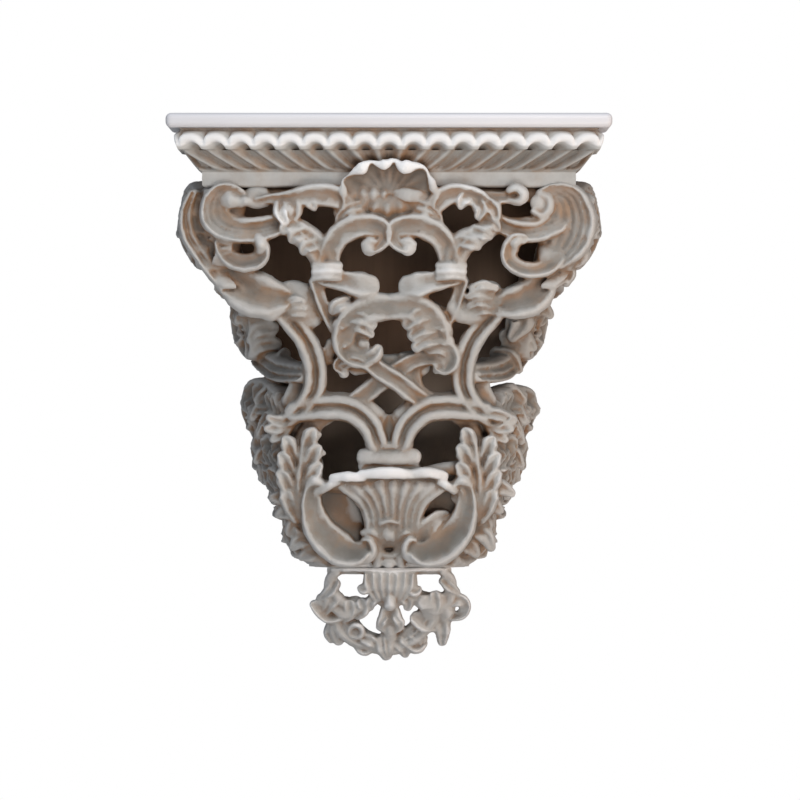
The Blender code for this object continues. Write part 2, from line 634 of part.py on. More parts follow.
def envelope_mesh(name):
    """All the room above the body's flat top and behind the cornice's face, with clearance."""
    bm = bmesh.new()
    half = FILLET_HALF_WIDTH + 40.0
    height = 90.0
    outline = [(reach + GAP, rise) for rise, reach, _, _ in CORNICE_ROWS[1:-2]]
    outline = [(outline[0][0], height)] + outline + [(GAP, -GAP / 2)]
    outline += [(-FILLET_FACE - half, -GAP / 2), (-FILLET_FACE - half, height)]
    rings = []
    for x in (-half, half):
        rings.append([bm.verts.new((x * MM, (-FILLET_FACE - reach) * MM, (CORNICE_BOTTOM + rise) * MM))
                      for reach, rise in outline])
    skin(bm, rings)
    return mesh_from(bm, name)


def top_board(paint):
    """A flat board with eased edges on its front and sides, square at the wall."""
    mesh = box_mesh("top_board", (-BOARD_WIDTH / 2, -BOARD_DEPTH, BOARD_TOP - BOARD_THICKNESS),
        (BOARD_WIDTH / 2, 0, BOARD_TOP))
    bm = bmesh.new()
    bm.from_mesh(mesh)
    eased = [e for e in bm.edges if min(v.co.y for v in e.verts) < -0.5 * BOARD_DEPTH * MM]
    bmesh.ops.bevel(bm, geom=eased, offset=BOARD_EDGE * MM, segments=2, affect="EDGES", profile=0.5)
    bm.to_mesh(mesh)
    bm.free()
    return piece("top_board", mesh, paint)


def back_board(stain):
    return piece("back_board", slab_mesh("back_board", board_outline(0.0), 0.0, -BACK_THICKNESS), stain)


def carving(name, strokes, voxel, faces, paint, tools):
    """A carved piece: its strokes fused, then cut back to its neighbours."""
    bm = bmesh.new()
    strokes(bm)
    made = piece(name, mesh_from(bm, name), paint)
    fused(made, voxel, faces)
    for tool in tools:
        cut(made, tool)
    baked(made)
    keep_largest(made)
    return made


def main():
    clear_scene()
    cream = material("painted carving", (0.62, 0.55, 0.49), 0.6)
    white = material("painted board", (0.73, 0.73, 0.77), 0.5)
    brown = material("stained back board", (0.03, 0.02, 0.014), 0.8)
    envelope = cutter("cornice clearance", envelope_mesh("cornice clearance"))
    pocket = cutter("board pocket", slab_mesh("board pocket", board_outline(GAP), 20.0,
        -BACK_THICKNESS - GAP))
    wall = cutter("wall", box_mesh("wall", (-300, 0, -400), (300, 200, 400)))
    below = cutter("below the seam", box_mesh("below the seam", (-300, -400, -500),
        (300, 200, SEAM + GAP / 2)))
    above = cutter("above the seam", box_mesh("above the seam", (-300, -400, SEAM - GAP / 2),
        (300, 200, 100)))
    top_board(white)
    piece("cornice", cornice_mesh("cornice"), cream)
    carving("carved_body", carved_strokes, BODY_VOXEL, BODY_FACES, cream, (envelope, below, wall, pocket))
    carving("pendant", pendant_strokes, PENDANT_VOXEL, PENDANT_FACES, cream, (above, wall))
    back_board(brown)
    for tool in (envelope, pocket, wall, below, above):
        bpy.data.objects.remove(tool, do_unlink=True)


main()
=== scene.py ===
import math
from functools import partial

import bmesh
import bpy
import numpy as np
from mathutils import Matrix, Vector


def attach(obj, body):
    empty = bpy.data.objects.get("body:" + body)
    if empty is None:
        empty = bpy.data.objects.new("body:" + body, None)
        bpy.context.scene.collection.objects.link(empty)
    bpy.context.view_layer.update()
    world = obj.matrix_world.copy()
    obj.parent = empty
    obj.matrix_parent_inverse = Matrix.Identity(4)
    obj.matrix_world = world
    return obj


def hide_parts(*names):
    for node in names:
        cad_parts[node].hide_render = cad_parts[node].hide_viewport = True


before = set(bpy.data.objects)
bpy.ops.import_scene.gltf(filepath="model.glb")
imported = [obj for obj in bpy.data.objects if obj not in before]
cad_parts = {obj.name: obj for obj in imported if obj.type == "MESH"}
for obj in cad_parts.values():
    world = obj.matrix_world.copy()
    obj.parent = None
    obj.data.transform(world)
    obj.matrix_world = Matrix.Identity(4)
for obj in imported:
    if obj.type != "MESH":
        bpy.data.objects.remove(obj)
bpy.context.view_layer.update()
bpy.ops.object.select_all(action="DESELECT")
mm = 0.001


# Small helpers

def linear(hexColour):
    channels = [int(hexColour[i:i + 2], 16) / 255 for i in (1, 3, 5)]
    return tuple(c / 12.92 if c <= 0.04045 else ((c + 0.055) / 1.055) ** 2.4 for c in channels) + (1.0,)


def addNode(tree, kind, settings=None, links=None):
    node = tree.nodes.new(kind)
    for name, value in (settings or {}).items():
        if isinstance(name, int) or name in node.inputs:
            node.inputs[name].default_value = value
        else:
            setattr(node, name, value)
    for name, source in (links or {}).items():
        tree.links.new(source, node.inputs[name])
    return node


def selectOnly(piece):
    bpy.ops.object.select_all(action="DESELECT")
    piece.select_set(True)
    bpy.context.view_layer.objects.active = piece


def applyModifier(piece, kind, **settings):
    selectOnly(piece)
    modifier = piece.modifiers.new(kind.title(), kind)
    for name, value in settings.items():
        setattr(modifier, name, value)
    bpy.ops.object.modifier_apply(modifier=modifier.name)


def finishPiece(piece, material, slot, *nodes):
    piece.data.materials.clear()
    piece.data.materials.append(material)
    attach(piece, "root")
    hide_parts(*nodes)


def level(stations, z):
    return float(np.interp(z, [s[0] for s in reversed(stations)], [s[1] for s in reversed(stations)]))


def smoothPath(points, steps):
    p = [np.array(tuple(q) + (0.0,) * (3 - len(q))) for q in points]
    p = [2 * p[0] - p[1]] + p + [2 * p[-1] - p[-2]]
    curve = []
    for a, b, c, d in zip(p, p[1:], p[2:], p[3:]):
        for t in np.arange(steps) / steps:
            curve.append(0.5 * (2 * b + (c - a) * t + (2 * a - 5 * b + 4 * c - d) * t ** 2
                                + (3 * b - a - 3 * c + d) * t ** 3))
    return np.array(curve + [p[-2]])


def spread(values, count):
    values = values if isinstance(values, tuple) else (values,)
    return np.interp(np.linspace(0, 1, count), np.linspace(0, 1, len(values)), values)


# The carving: every scroll, leaf and moulding is one gouged stroke, laid on the bracket's carcass
# in millimetres from the middle line and above the origin, and all strokes are then fused

carvedBody = {
    "voxel": 1.25,
    "triangles": 190000,
    "smoothing": 5,
    "toneShift": 0.0,         # how much paler the whole piece is painted, in millimetres of relief
    # where the raised parts are painted white, as chips and as painted highlights: middle x and z, reach each way,
    # amount
    "chipsAndHighlights": (
        (0, 224, 52, 13, 3.4), (-42, -86, 20, 9, 3.2), (0, -83, 30, 8, 2.2), (48, -90, 18, 10, 1.6),
        (80, 192, 22, 12, 1.8), (-104, 174, 12, 14, 2.8), (-64, 118, 16, 10, 1.6), (62, 118, 16, 10, 1.6),
        (-40, 74, 24, 22, 1.0), (40, -145, 30, 20, 0.8), (110, -80, 20, 50, 1.0), (0, -125, 90, 60, 0.8)),
    "bow": 8.0,          # how much the front falls back towards its corners
    "flankInset": 3.5,
    "seam": -178.0,      # where the body ends and the pendant begins
    "seamGap": 0.15,     # left open on each side of it
    # the carcass: height, then how far it stands out in front, and its half width at the front corner and at the wall
    "frontDepth": (
        (277, 218), (200, 216), (160, 214), (120, 204), (90, 192), (60, 176), (20, 158), (-20, 148),
        (-60, 142), (-100, 134), (-130, 124), (-160, 108), (-178, 97), (-200, 82), (-225, 60),
        (-250, 38), (-280, 18)),
    "cornerHalf": (
        (277, 184), (203, 184), (150, 174), (110, 152), (80, 122), (60, 104), (20, 86), (-10, 90),
        (-40, 104), (-80, 106), (-110, 90), (-140, 80), (-178, 60), (-280, 36)),
    "rearHalf": (
        (277, 186), (203, 187), (160, 196), (120, 174), (90, 146), (60, 142), (20, 130), (-20, 138),
        (-60, 126), (-100, 109), (-130, 98), (-178, 82), (-280, 36)),
}


def evenSided(half):
    # A profile that is the same on both sides of its middle
    return half + tuple((-across, rise) for across, rise in reversed(half[:-1]))


# Gouge profiles: place across the stroke, height above its bed; -1 is the outside of a scroll's bend
profiles = {
    "roll": evenSided(((-1, 0), (-0.9, 0.4), (-0.72, 0.7), (-0.4, 0.93), (0, 1))),
    "flat": evenSided(((-1, 0), (-0.93, 0.5), (-0.75, 0.84), (-0.4, 0.97), (0, 1))),
    "strap": evenSided(((-1, 0), (-0.96, 0.45), (-0.84, 0.85), (-0.6, 1), (-0.32, 0.92), (-0.15, 0.6), (0, 0.46))),
    "trough": evenSided(((-1, 0), (-0.96, 0.5), (-0.84, 0.9), (-0.68, 1), (-0.5, 0.86), (-0.28, 0.6), (0, 0.48))),
    "leaf": evenSided(((-1, 0), (-0.9, 0.5), (-0.66, 0.85), (-0.38, 0.82), (-0.16, 0.6), (0, 0.98))),
    "dish": ((-1, 0), (-0.97, 0.45), (-0.88, 0.84), (-0.72, 1), (-0.52, 0.95), (-0.32, 0.79), (-0.1, 0.64),
             (0.15, 0.58), (0.42, 0.6), (0.64, 0.68), (0.8, 0.68), (0.92, 0.48), (1, 0)),
    "shallow": ((-1, 0), (-0.96, 0.5), (-0.87, 0.88), (-0.74, 1), (-0.58, 0.93), (-0.36, 0.74), (-0.08, 0.6),
                (0.2, 0.56), (0.48, 0.62), (0.72, 0.72), (0.84, 0.68), (0.94, 0.44), (1, 0)),
    "veined": ((-1, 0), (-0.96, 0.5), (-0.87, 0.88), (-0.75, 1), (-0.62, 0.86), (-0.52, 0.68), (-0.42, 0.8),
               (-0.32, 0.72), (-0.22, 0.54), (-0.1, 0.68), (0.02, 0.62), (0.14, 0.46), (0.28, 0.6), (0.42, 0.56),
               (0.54, 0.46), (0.7, 0.62), (0.84, 0.6), (0.94, 0.42), (1, 0)),
    "reeds": ((-1, 0), (-0.95, 0.6), (-0.8, 1), (-0.62, 0.92), (-0.48, 0.58), (-0.32, 0.62), (-0.14, 0.84),
              (0.04, 0.74), (0.18, 0.44), (0.36, 0.44), (0.56, 0.6), (0.76, 0.52), (0.9, 0.3), (1, 0)),
    "lobe": ((-1, 0), (-0.92, 0.5), (-0.7, 0.92), (-0.42, 0.9), (-0.14, 0.62), (0.1, 0.58), (0.42, 0.84), (0.7, 0.9),
             (0.92, 0.5), (1, 0)),
}


def frontPlace(side):
    def place(x, z, out):
        bow = carvedBody["bow"] * min(1.0, abs(x) / level(carvedBody["cornerHalf"], z)) ** 2
        spot = (side * x, bow - level(carvedBody["frontDepth"], z) - out, z)
        return np.array(spot), np.array((0.0, -1.0, 0.0))
    place.side = side
    return place


def flankPlace(side):
    def place(run, z, out):
        corner = np.array((level(carvedBody["cornerHalf"], z), carvedBody["bow"] - level(carvedBody["frontDepth"], z)))
        rear = np.array((level(carvedBody["rearHalf"], z), 0.0))
        along = (corner - rear) / np.linalg.norm(corner - rear)
        away = np.array((-along[1], along[0]))
        spot = rear + along * run + away * (out - carvedBody["flankInset"])
        return np.array((side * spot[0], spot[1], z)), np.array((side * away[0], away[1], 0.0))
    place.side = -side
    return place


def facingPlace(side, depth):
    # Leaves on the flank that face the front: x is measured outwards from the flank's face at one depth
    def place(x, z, out):
        front = level(carvedBody["frontDepth"], z) - carvedBody["bow"]
        rear, corner = level(carvedBody["rearHalf"], z), level(carvedBody["cornerHalf"], z)
        half = rear + (corner - rear) * min(1.0, depth / front)
        return np.array((side * (half + x), -depth - out, z)), np.array((0.0, -1.0, 0.0))
    place.side = side
    return place


def seamPlace(depth, z, up):
    # Strokes that lie flat in the seam between the body and the pendant, face up or down
    def place(x, run, out):
        return np.array((x, -depth, z + out)), np.array((0.0, 0.0, up))
    place.side = 1
    return place


def skin(carving, rings):
    count = len(rings[0])
    start = carving["count"]
    carving["points"].append(np.concatenate(rings))
    for i in range(len(rings) - 1):
        for j in range(count):
            a, b = start + i * count + j, start + i * count + (j + 1) % count
            carving["faces"].append((a, b, b + count, a + count))
    carving["faces"].append(tuple(range(start + count - 1, start - 1, -1)))
    carving["faces"].append(tuple(range(start + (len(rings) - 1) * count, start + len(rings) * count)))
    carving["count"] += len(rings) * count


# A stroke's rounded ends: how far past its path, in half widths, and how much of its section is left there
strokeEnds = ((0.3, 0.75), (0.55, 0.35))
endHeight = 0.4         # how much of its height a stroke would keep where nothing of its section is left
endReach = 15.0         # a half width beyond this makes an end no longer
underside = 0.85        # how wide a stroke's back is, beside its face
tiny = 1e-9     # keeps a zero length from being divided by


def stroke(carving, place, points, width, height, profile="roll", back=12.0, steps=5):
    path = smoothPath(points, steps)
    laid = [place(*p) for p in path]
    spots = np.array([spot for spot, away in laid])
    away = np.array([way for spot, way in laid])
    widths, heights = spread(width, len(spots)) / 2, spread(height, len(spots))
    ahead = np.gradient(spots, axis=0)
    ahead /= np.linalg.norm(ahead, axis=1)[:, None] + tiny
    way = np.diff(path[:, :2], axis=0)
    bend = 1 if np.sum(way[:-1, 0] * way[1:, 1] - way[:-1, 1] * way[1:, 0]) <= 0 else -1
    across = np.cross(ahead, away) * place.side * bend
    across /= np.linalg.norm(across, axis=1)[:, None] + tiny
    shape = np.array(profiles[profile] + ((underside, None), (-underside, None)), dtype=object)

    def ring(i, shift, share):
        made = []
        for u, h in shape:
            rise = -back * (0.5 + share / 2) if h is None else h * heights[i] * (endHeight + (1 - endHeight) * share)
            past = ahead[i] * shift * min(widths[i], endReach)
            made.append(spots[i] + past + across[i] * u * widths[i] * share + away[i] * rise)
        return np.array(made)

    rings = [ring(0, -shift, share) for shift, share in reversed(strokeEnds)]
    rings += [ring(i, 0, 1) for i in range(len(spots))]
    rings += [ring(len(spots) - 1, shift, share) for shift, share in strokeEnds]
    skin(carving, rings)


ballShape = bmesh.new()
bmesh.ops.create_icosphere(ballShape, subdivisions=3, radius=1.0)
ballPoints = np.array([v.co[:] for v in ballShape.verts])
ballFaces = [tuple(v.index for v in f.verts) for f in ballShape.faces]
ballShape.free()


def ball(carving, place, spot, radius, flat=1.0):
    centre, away = place(*spot)
    points = ballPoints * radius
    points = points + away * (points @ away)[:, None] * (flat - 1.0) + centre
    carving["points"].append(points)
    carving["faces"] += [tuple(carving["count"] + i for i in face) for face in ballFaces]
    carving["count"] += len(points)


def volute(carving, place, centre, radius, start, turns, width, height, out, rise, eye):
    # A band that winds clockwise, as seen on the right half, in to an eye
    points = []
    count = max(6, round(abs(turns) * 9))
    for i in range(count + 1):
        t = i / count
        angle = math.radians(start) - 2 * math.pi * turns * t
        r = radius * (1 - 0.72 * t)
        points.append((centre[0] + r * math.cos(angle), centre[1] + r * math.sin(angle), out + rise * t))
    stroke(carving, place, points, (width, width * 0.85, width * 0.45), (height, height, height * 0.8), "dish", 15, 3)
    ball(carving, place, (centre[0], centre[1], out + rise), eye, 1.15)


def acanthus(carving, place, spine, reach, lobes, height, back, lift, sweep):
    # A bed, a raised rib, and long overlapping lobes that leave the rib low and peel outwards at their tips
    curve = smoothPath(spine, 6)
    bed = [(p[0], p[1], p[2] - 3) for p in spine]
    stroke(carving, place, bed, (reach * 1.1, reach * 1.7, reach * 1.55, reach * 0.8), height * 0.75, "flat", back)
    steps = ((0.12, -0.15, 0.0), (0.36, 0.3, 0.3), (0.56, 0.72, 0.6), (0.84, 0.98, 0.95), (1.05, 1.0, 1.0))
    for i in range(lobes):
        share = (i + 0.15) / lobes      # the first lobe starts a little up the rib
        at = min(int(share * (len(curve) - 1)), len(curve) - 2)
        root = curve[at]
        ahead = curve[at + 1][:2] - curve[at][:2]
        ahead = ahead / (np.linalg.norm(ahead) + tiny)
        size = reach * (0.75 + 0.25 * math.sin(math.pi * (0.25 + 0.6 * share)))
        for s in (-1, 1):
            across = np.array((-ahead[1], ahead[0])) * s
            points = [(*(root[:2] + (across * aside + ahead * along * sweep) * size), root[2] + lift * up)
                      for aside, along, up in steps]
            stroke(carving, place, points, (size * 0.34, size * 0.58, size * 0.68, size * 0.58, size * 0.26),
                   (height * 0.75, height * 0.92, height * 0.95, height * 0.85, height * 0.5), "lobe", back, 3)
    rib = [(p[0], p[1], p[2] + 2) for p in spine]
    stroke(carving, place, rib, (reach * 0.32, reach * 0.38, reach * 0.24), (height, height * 1.05, height * 0.8),
           "roll", back)


def fanShell(carving, place, hinge, degrees, reach, out, ribs, depth, inner, thick, scallop):
    # A scalloped shell: reach gives its edge by angle, out its stand-off from hinge to edge
    columns, rows = ribs * 8 + 1, 16
    front, rear = [], []
    for i in range(columns):
        share = i / (columns - 1)
        angle = math.radians(degrees[0] + (degrees[1] - degrees[0]) * share)
        crest = abs(math.sin(math.pi * ribs * share))
        for j in range(rows):
            t = inner + (1 - inner) * j / (rows - 1)
            r = reach(angle) * t * (1 + scallop * (crest - 0.5) * t)
            o = float(np.interp(t, *zip(*out))) + depth * (crest - 0.6) * min(1.0, 1.6 * t)
            spot = (hinge[0] + r * math.cos(angle), hinge[1] + r * math.sin(angle))
            point, away = place(*spot, o)
            front.append(point)
            rear.append(point - away * thick)
    start, total = carving["count"], columns * rows
    carving["points"].append(np.array(front + rear))
    faces = carving["faces"]
    for i in range(columns - 1):
        for j in range(rows - 1):
            a = start + i * rows + j
            faces.append((a, a + 1, a + rows + 1, a + rows))
            faces.append((a + total, a + total + rows, a + total + rows + 1, a + total + 1))
    edge = [i * rows for i in range(columns)] + [(columns - 1) * rows + j for j in range(1, rows)]
    edge += [i * rows + rows - 1 for i in range(columns - 2, -1, -1)] + list(range(rows - 2, 0, -1))
    for a, b in zip(edge, edge[1:] + edge[:1]):
        faces.append((start + a, start + b, start + b + total, start + a + total))
    carving["count"] += 2 * total


# The front, each function one group of strokes for one half; x is measured from the middle

def cornerScroll(carving, side):
    place = frontPlace(side)
    lay = partial(stroke, carving, place)
    lay([(60, 197, -5), (110, 197, -5), (150, 196, -6), (184, 194, -9)], 16, 6, "flat", 14)    # bed under the fillet
    if side < 0:
        # reeded edge at the corner, and beds behind the scroll
        lay([(193, 197, -12), (198, 178, -13), (195, 158, -12), (183, 138, -9), (169, 118, -7), (157, 100, -6),
             (150, 90, -7)], (16, 25, 29, 28, 25, 22, 16), (14, 18, 18, 17, 14), "reeds", 18)
        lay([(176, 190, -3), (168, 178, -2), (156, 181, -1), (148, 181, -2)], (26, 34, 28, 16), 6, "flat", 14)
        lay([(182, 176, -7), (174, 158, -7), (166, 142, -7), (160, 126, -7), (150, 112, -7)], (24, 26, 22, 24, 24), 7,
            "flat", 14)
        # broad band that turns over into the arm, with its ridge and the knob in its eye
        lay([(146, 196, 7), (156, 200, 7), (166, 198, 5), (173, 188, 3), (173, 175, 1), (165, 166, 0), (150, 161, 0),
             (132, 161, 0), (115, 165, 1), (101, 172, 2)], (9, 14, 22, 30, 34, 32, 28, 27, 23, 14),
            (10, 14, 18, 19, 19, 17, 13), "veined", 16)
        lay([(158, 172, 3), (144, 170, 5), (128, 171, 6), (112, 174, 5)], (4, 8, 8, 5), (7, 9, 9, 7), "roll", 12)
        lay([(168, 187, 3), (160, 191, 7), (150, 190, 7)], (15, 20, 14), (11, 14, 11), "roll", 14)
        lay([(150, 186, 6), (144, 190, 9), (137, 188, 8)], (9, 12, 8), (9, 11, 8), "roll", 12)
        # tufts at the arm's end
        for x, z, tipX, tipZ in ((108, 172, 101, 184), (106, 166, 96, 176), (110, 160, 99, 164)):
            lay([(x, z, 5), ((x + tipX) / 2 + 1, (z + tipZ) / 2, 9), (tipX, tipZ, 9)], (10, 11, 5), (9, 11, 7), "lobe",
                12)
        for step in range(3):    # leaf ends beside the ring
            lay([(176 - 2 * step, 152 - 7 * step, -2), (166, 151 - 6 * step, 4), (157, 149 - 5 * step, 4)], (8, 9, 5),
                10, "lobe", 12)
        # ring under the arm
        lay([(129, 151, 8), (126, 141, 7), (130, 132, 6), (143, 128, 5), (156, 131, 4), (165, 139, 2), (170, 150, 0)],
            (13, 15, 18, 19, 19, 16, 12), (15, 15, 14, 13), "dish", 15)
        lay([(130, 138, 9), (128, 146, 12), (131, 154, 10)], (10, 15, 12), (12, 14, 11), "roll", 14)
    else:
        # reeded edge and beds
        lay([(193, 190, -14), (198, 172, -15), (194, 156, -14), (181, 140, -12), (165, 120, -8), (153, 100, -6)],
            (14, 20, 23, 20, 20, 16), (12, 15, 15, 13), "reeds", 18)
        lay([(172, 188, -3), (166, 174, -3), (152, 167, -4)], (30, 36, 24), 7, "flat", 14)
        lay([(163, 184, -1), (157, 180, -1)], (20, 16), 6, "flat", 14)
        lay([(184, 178, -6), (180, 156, -6), (172, 136, -6), (162, 116, -7)], (26, 34, 30, 26), 8, "flat", 14)
        # broad band, arm and eye
        lay([(152, 198, 3), (166, 199, 2), (180, 191, -1), (186, 172, -3), (182, 152, -2), (173, 138, 0),
             (167, 128, 1)], (9, 20, 35, 45, 43, 34, 20), (11, 15, 18, 19, 18, 14), "veined", 18)
        lay([(170, 170, 0), (152, 163, 1), (134, 161, 1), (116, 165, 1), (102, 172, 1)], (24, 28, 26, 20, 12),
            (13, 15, 14, 11), "veined", 16)
        lay([(159, 174, 5), (145, 167, 6), (126, 168, 7), (108, 175, 5)], (6, 8, 8, 5), (8, 9, 8), "roll", 12)
        lay([(149, 198, 4), (159, 192, 5), (160, 182, 5), (152, 176, 5), (143, 180, 6)], (9, 12, 12, 10, 6),
            (10, 12, 10), "roll", 14)
        ball(carving, place, (149, 188, 8), 8.5, 0.8)
        # ring, and lobes on the edge below it
        lay([(136, 152, 9), (126, 151, 9), (120, 142, 8), (121, 131, 7), (131, 123, 6), (146, 121, 5), (160, 125, 3),
             (169, 135, 1)], (10, 14, 16, 17, 17, 17, 18, 18), (14, 15, 15, 14), "dish", 15)
        lay([(131, 152, 9), (126, 147, 11), (126, 139, 9)], (10, 11, 7), (12, 13, 9), "roll", 12)
        lay([(184, 149, -6), (192, 137, -6), (186, 127, -8)], (14, 20, 12), 11, "lobe", 12)
        lay([(172, 128, -6), (180, 118, -6), (176, 107, -8)], (12, 16, 9), 11, "lobe", 12)


def crestLeaves(carving, side):
    lay = partial(stroke, carving, frontPlace(side))
    if side < 0:
        # curl at the outer end, then the long leaf scroll beside the shell and what hangs from it
        lay([(122, 188, 2), (133, 187, 3), (139, 192, 4), (134, 198, 3), (122, 198, 2)], (7, 11, 15, 14, 10),
            (8, 10, 8), "roll", 13)
        lay([(42, 166, 2), (41, 180, 4), (46, 190, 6), (58, 195, 8), (74, 196, 8), (90, 194, 7), (104, 192, 5),
             (118, 192, 5), (132, 190, 4)], (12, 18, 22, 24, 23, 20, 15, 11, 7), (10, 13, 15, 15, 13, 10), "dish", 14)
        lay([(52, 180, 0), (46, 172, 0), (48, 164, 0)], (10, 12, 8), 10, "flat", 12)
        lay([(108, 188, 6), (108, 178, 12), (103, 168, 14)], (14, 17, 10), (12, 15, 12), "lobe", 13)
        lay([(97, 190, 5), (94, 181, 9), (95, 173, 9)], (16, 17, 11), (12, 13, 10), "lobe", 12)
        lay([(82, 192, 6), (77, 186, 9), (74, 181, 9)], (15, 12, 6), (11, 12, 8), "lobe", 11)
        lay([(64, 120, 2), (67, 135, 3), (76, 148, 4), (90, 159, 5), (104, 169, 4)], (22, 28, 28, 26, 18),
            (12, 14, 14, 11), "leaf", 15)
        lobes = ((94, 168, 103, 164, 106, 158), (84, 158, 94, 154, 97, 149), (73, 147, 83, 143, 86, 138))
    else:
        # curl, leaf scroll and what hangs from it
        lay([(118, 192, 8), (129, 190, 11), (134, 196, 12), (127, 202, 12), (119, 199, 11)], (7, 11, 13, 12, 8),
            (10, 13, 11), "roll", 13)
        lay([(94, 194, 6), (108, 193, 5), (120, 193, 5), (134, 193, 4)], (12, 13, 12, 8), (10, 13, 10), "dish", 12)
        lay([(41, 168, 2), (43, 182, 5), (52, 192, 7), (64, 197, 8), (78, 196, 8), (90, 191, 7), (98, 183, 5)],
            (14, 20, 22, 21, 20, 20, 15), (12, 14, 15, 13), "dish", 14)
        lay([(78, 195, 7), (73, 189, 11), (71, 183, 11)], (17, 15, 7), (12, 13, 8), "lobe", 12)
        lay([(88, 189, 6), (92, 181, 11), (89, 173, 12)], (15, 17, 9), (12, 14, 10), "lobe", 13)
        lay([(95, 190, 6), (104, 182, 11), (107, 172, 13)], (14, 18, 11), (12, 15, 12), "lobe", 13)
        lay([(64, 120, 2), (66, 135, 3), (74, 148, 4), (88, 155, 5), (106, 164, 4)], (22, 26, 27, 23, 16),
            (12, 14, 14, 11), "leaf", 15)
        lobes = ((94, 170, 104, 167, 109, 161), (84, 160, 95, 157, 102, 154), (72, 150, 84, 147, 90, 144))
    for x, z, overX, overZ, tipX, tipZ in lobes:    # leaf ends along the stem below
        lay([(x, z, 6), (overX, overZ, 10), (tipX, tipZ, 9)], (16, 17, 9), (12, 14, 10), "lobe", 13)


def heart(carving, side):
    place = frontPlace(side)
    lay = partial(stroke, carving, place)
    # C-scroll with its eye
    lay([(19, 141, 10), (10, 145, 9), (4, 153, 7), (6, 161, 5), (16, 165, 4), (30, 165, 4), (45, 159, 3), (56, 147, 2),
         (61, 132, 2), (62, 112, 2)], (10, 12, 16, 21, 24, 25, 25, 24, 24, 24), (12, 14, 16, 17, 15, 13), "dish", 15)
    ball(carving, place, (19, 143, 11), 8.5, 1.15)
    lay([(26, 146, 8), (20, 150, 9), (13, 149, 9)], (6, 8, 6), 11, "roll", 13)
    for z, out in ((126, 8), (120, 10), (114, 8)):      # three rings of its collar
        lay([(48, z - 1, out), (61, z, out + 4), (76, z - 1, out)], (8, 7.5, 8), 8, "roll", 15)
    # leaf that crosses to the middle, and the band that falls from the collar
    lay([(70, 113, -1), (56, 111, 2), (42, 109, 5), (28, 106, 7), (15, 105, 5)], (14, 18, 22, 27, 20),
        (11, 13, 15, 14, 10), "shallow", 15)
    lay([(40, 100, 2), (30, 95, 6), (20, 95, 8), (15, 99, 7)], (6, 10, 11, 8), (9, 11, 9), "roll", 13)
    lay([(73, 112, 0), (70, 99, 0), (66, 87, 0), (60, 75, 0), (53, 62, 0)], (15, 13, 13, 14, 14), (12, 14, 12), "dish",
        15)
    lay([(34, 86, -6), (44, 84, -9), (56, 78, -8)], (12, 12, 12), 8, "flat", 10)


def leafScroll(carving, side):
    place = frontPlace(side)
    lay = partial(stroke, carving, place)
    if side < 0:
        # scroll from the middle line, with leaf ends inside and outside its bend
        lay([(-3, 84, 5), (10, 84, 6), (25, 81, 7), (38, 71, 7), (45, 57, 7), (45, 44, 7), (38, 34, 7), (26, 30, 7),
             (15, 34, 8), (10, 41, 8)], (26, 30, 30, 28, 25, 22, 18, 16, 14, 10), (13, 16, 17, 15, 13), "dish", 15)
        for root, tip, width in (((40, 73), (15, 65), 14), ((38, 63), (17, 56), 12)):
            middle = ((root[0] + tip[0]) / 2, (root[1] + tip[1]) / 2 + 4, 10)
            lay([(*root, 6), middle, (*tip, 12)], (width, width * 1.2, width * 0.7), (12, 14, 10), "lobe", 13)
        volute(carving, place, (26, 48), radius=11, start=110, turns=0.9, width=9, height=10, out=3, rise=6, eye=6.5)
        lay([(28, 32, 7), (16, 36, 11), (10, 44, 11)], (14, 16, 10), (13, 15, 11), "lobe", 14)
        for x, z in ((54, 86), (52, 67), (50, 49), (42, 32)):
            lay([(x - 12, z + 4, 5), (x - 2, z - 1, 9), (x + 3, z - 8, 8)], (14, 17, 9), (12, 13, 8), "lobe", 13)
        lay([(57, 50, -4), (60, 40, -5), (61, 30, -5)], (12, 13, 12), 9, "flat", 12)
    else:
        # scroll, leaf ends inside it, and the curl below
        lay([(-3, 84, 5), (12, 85, 6), (27, 83, 7), (40, 75, 7), (49, 62, 7), (52, 48, 6)], (26, 29, 30, 29, 25, 18),
            (13, 16, 17, 14), "dish", 15)
        for root, tip, width in (((38, 77), (17, 66), 17), ((46, 64), (22, 55), 15), ((49, 52), (26, 43), 14)):
            middle = ((root[0] + tip[0]) / 2, (root[1] + tip[1]) / 2 + 3, 11)
            lay([(*root, 6), middle, (*tip, 13)], (width * 1.1, width * 1.15, width * 0.8), (13, 15, 11), "lobe", 14)
        lay([(39, 43, 6), (52, 45, 8), (61, 39, 8), (63, 29, 8), (56, 22, 8), (47, 25, 8)], (16, 19, 19, 17, 13, 8),
            (13, 15, 14, 11), "dish", 15)
        ball(carving, place, (53, 31, 9), 7, 1.1)
        for x, z in ((59, 64), (61, 50)):
            lay([(x - 14, z + 4, 5), (x - 3, z, 9), (x + 2, z - 8, 8)], (14, 16, 8), (12, 13, 8), "lobe", 13)
        lay([(38, 38, -3), (24, 35, -5), (12, 33, -7)], (12, 12, 12), 9, "flat", 12)
    lay([(68, 30, -4), (71, 18, -5), (73, 6, -4)], (12, 12, 14), 10, "flat", 12)
    lay([(36, 24, -8), (14, 28, -10), (-4, 28, -10)], (18, 18, 18), 10, "flat", 10)


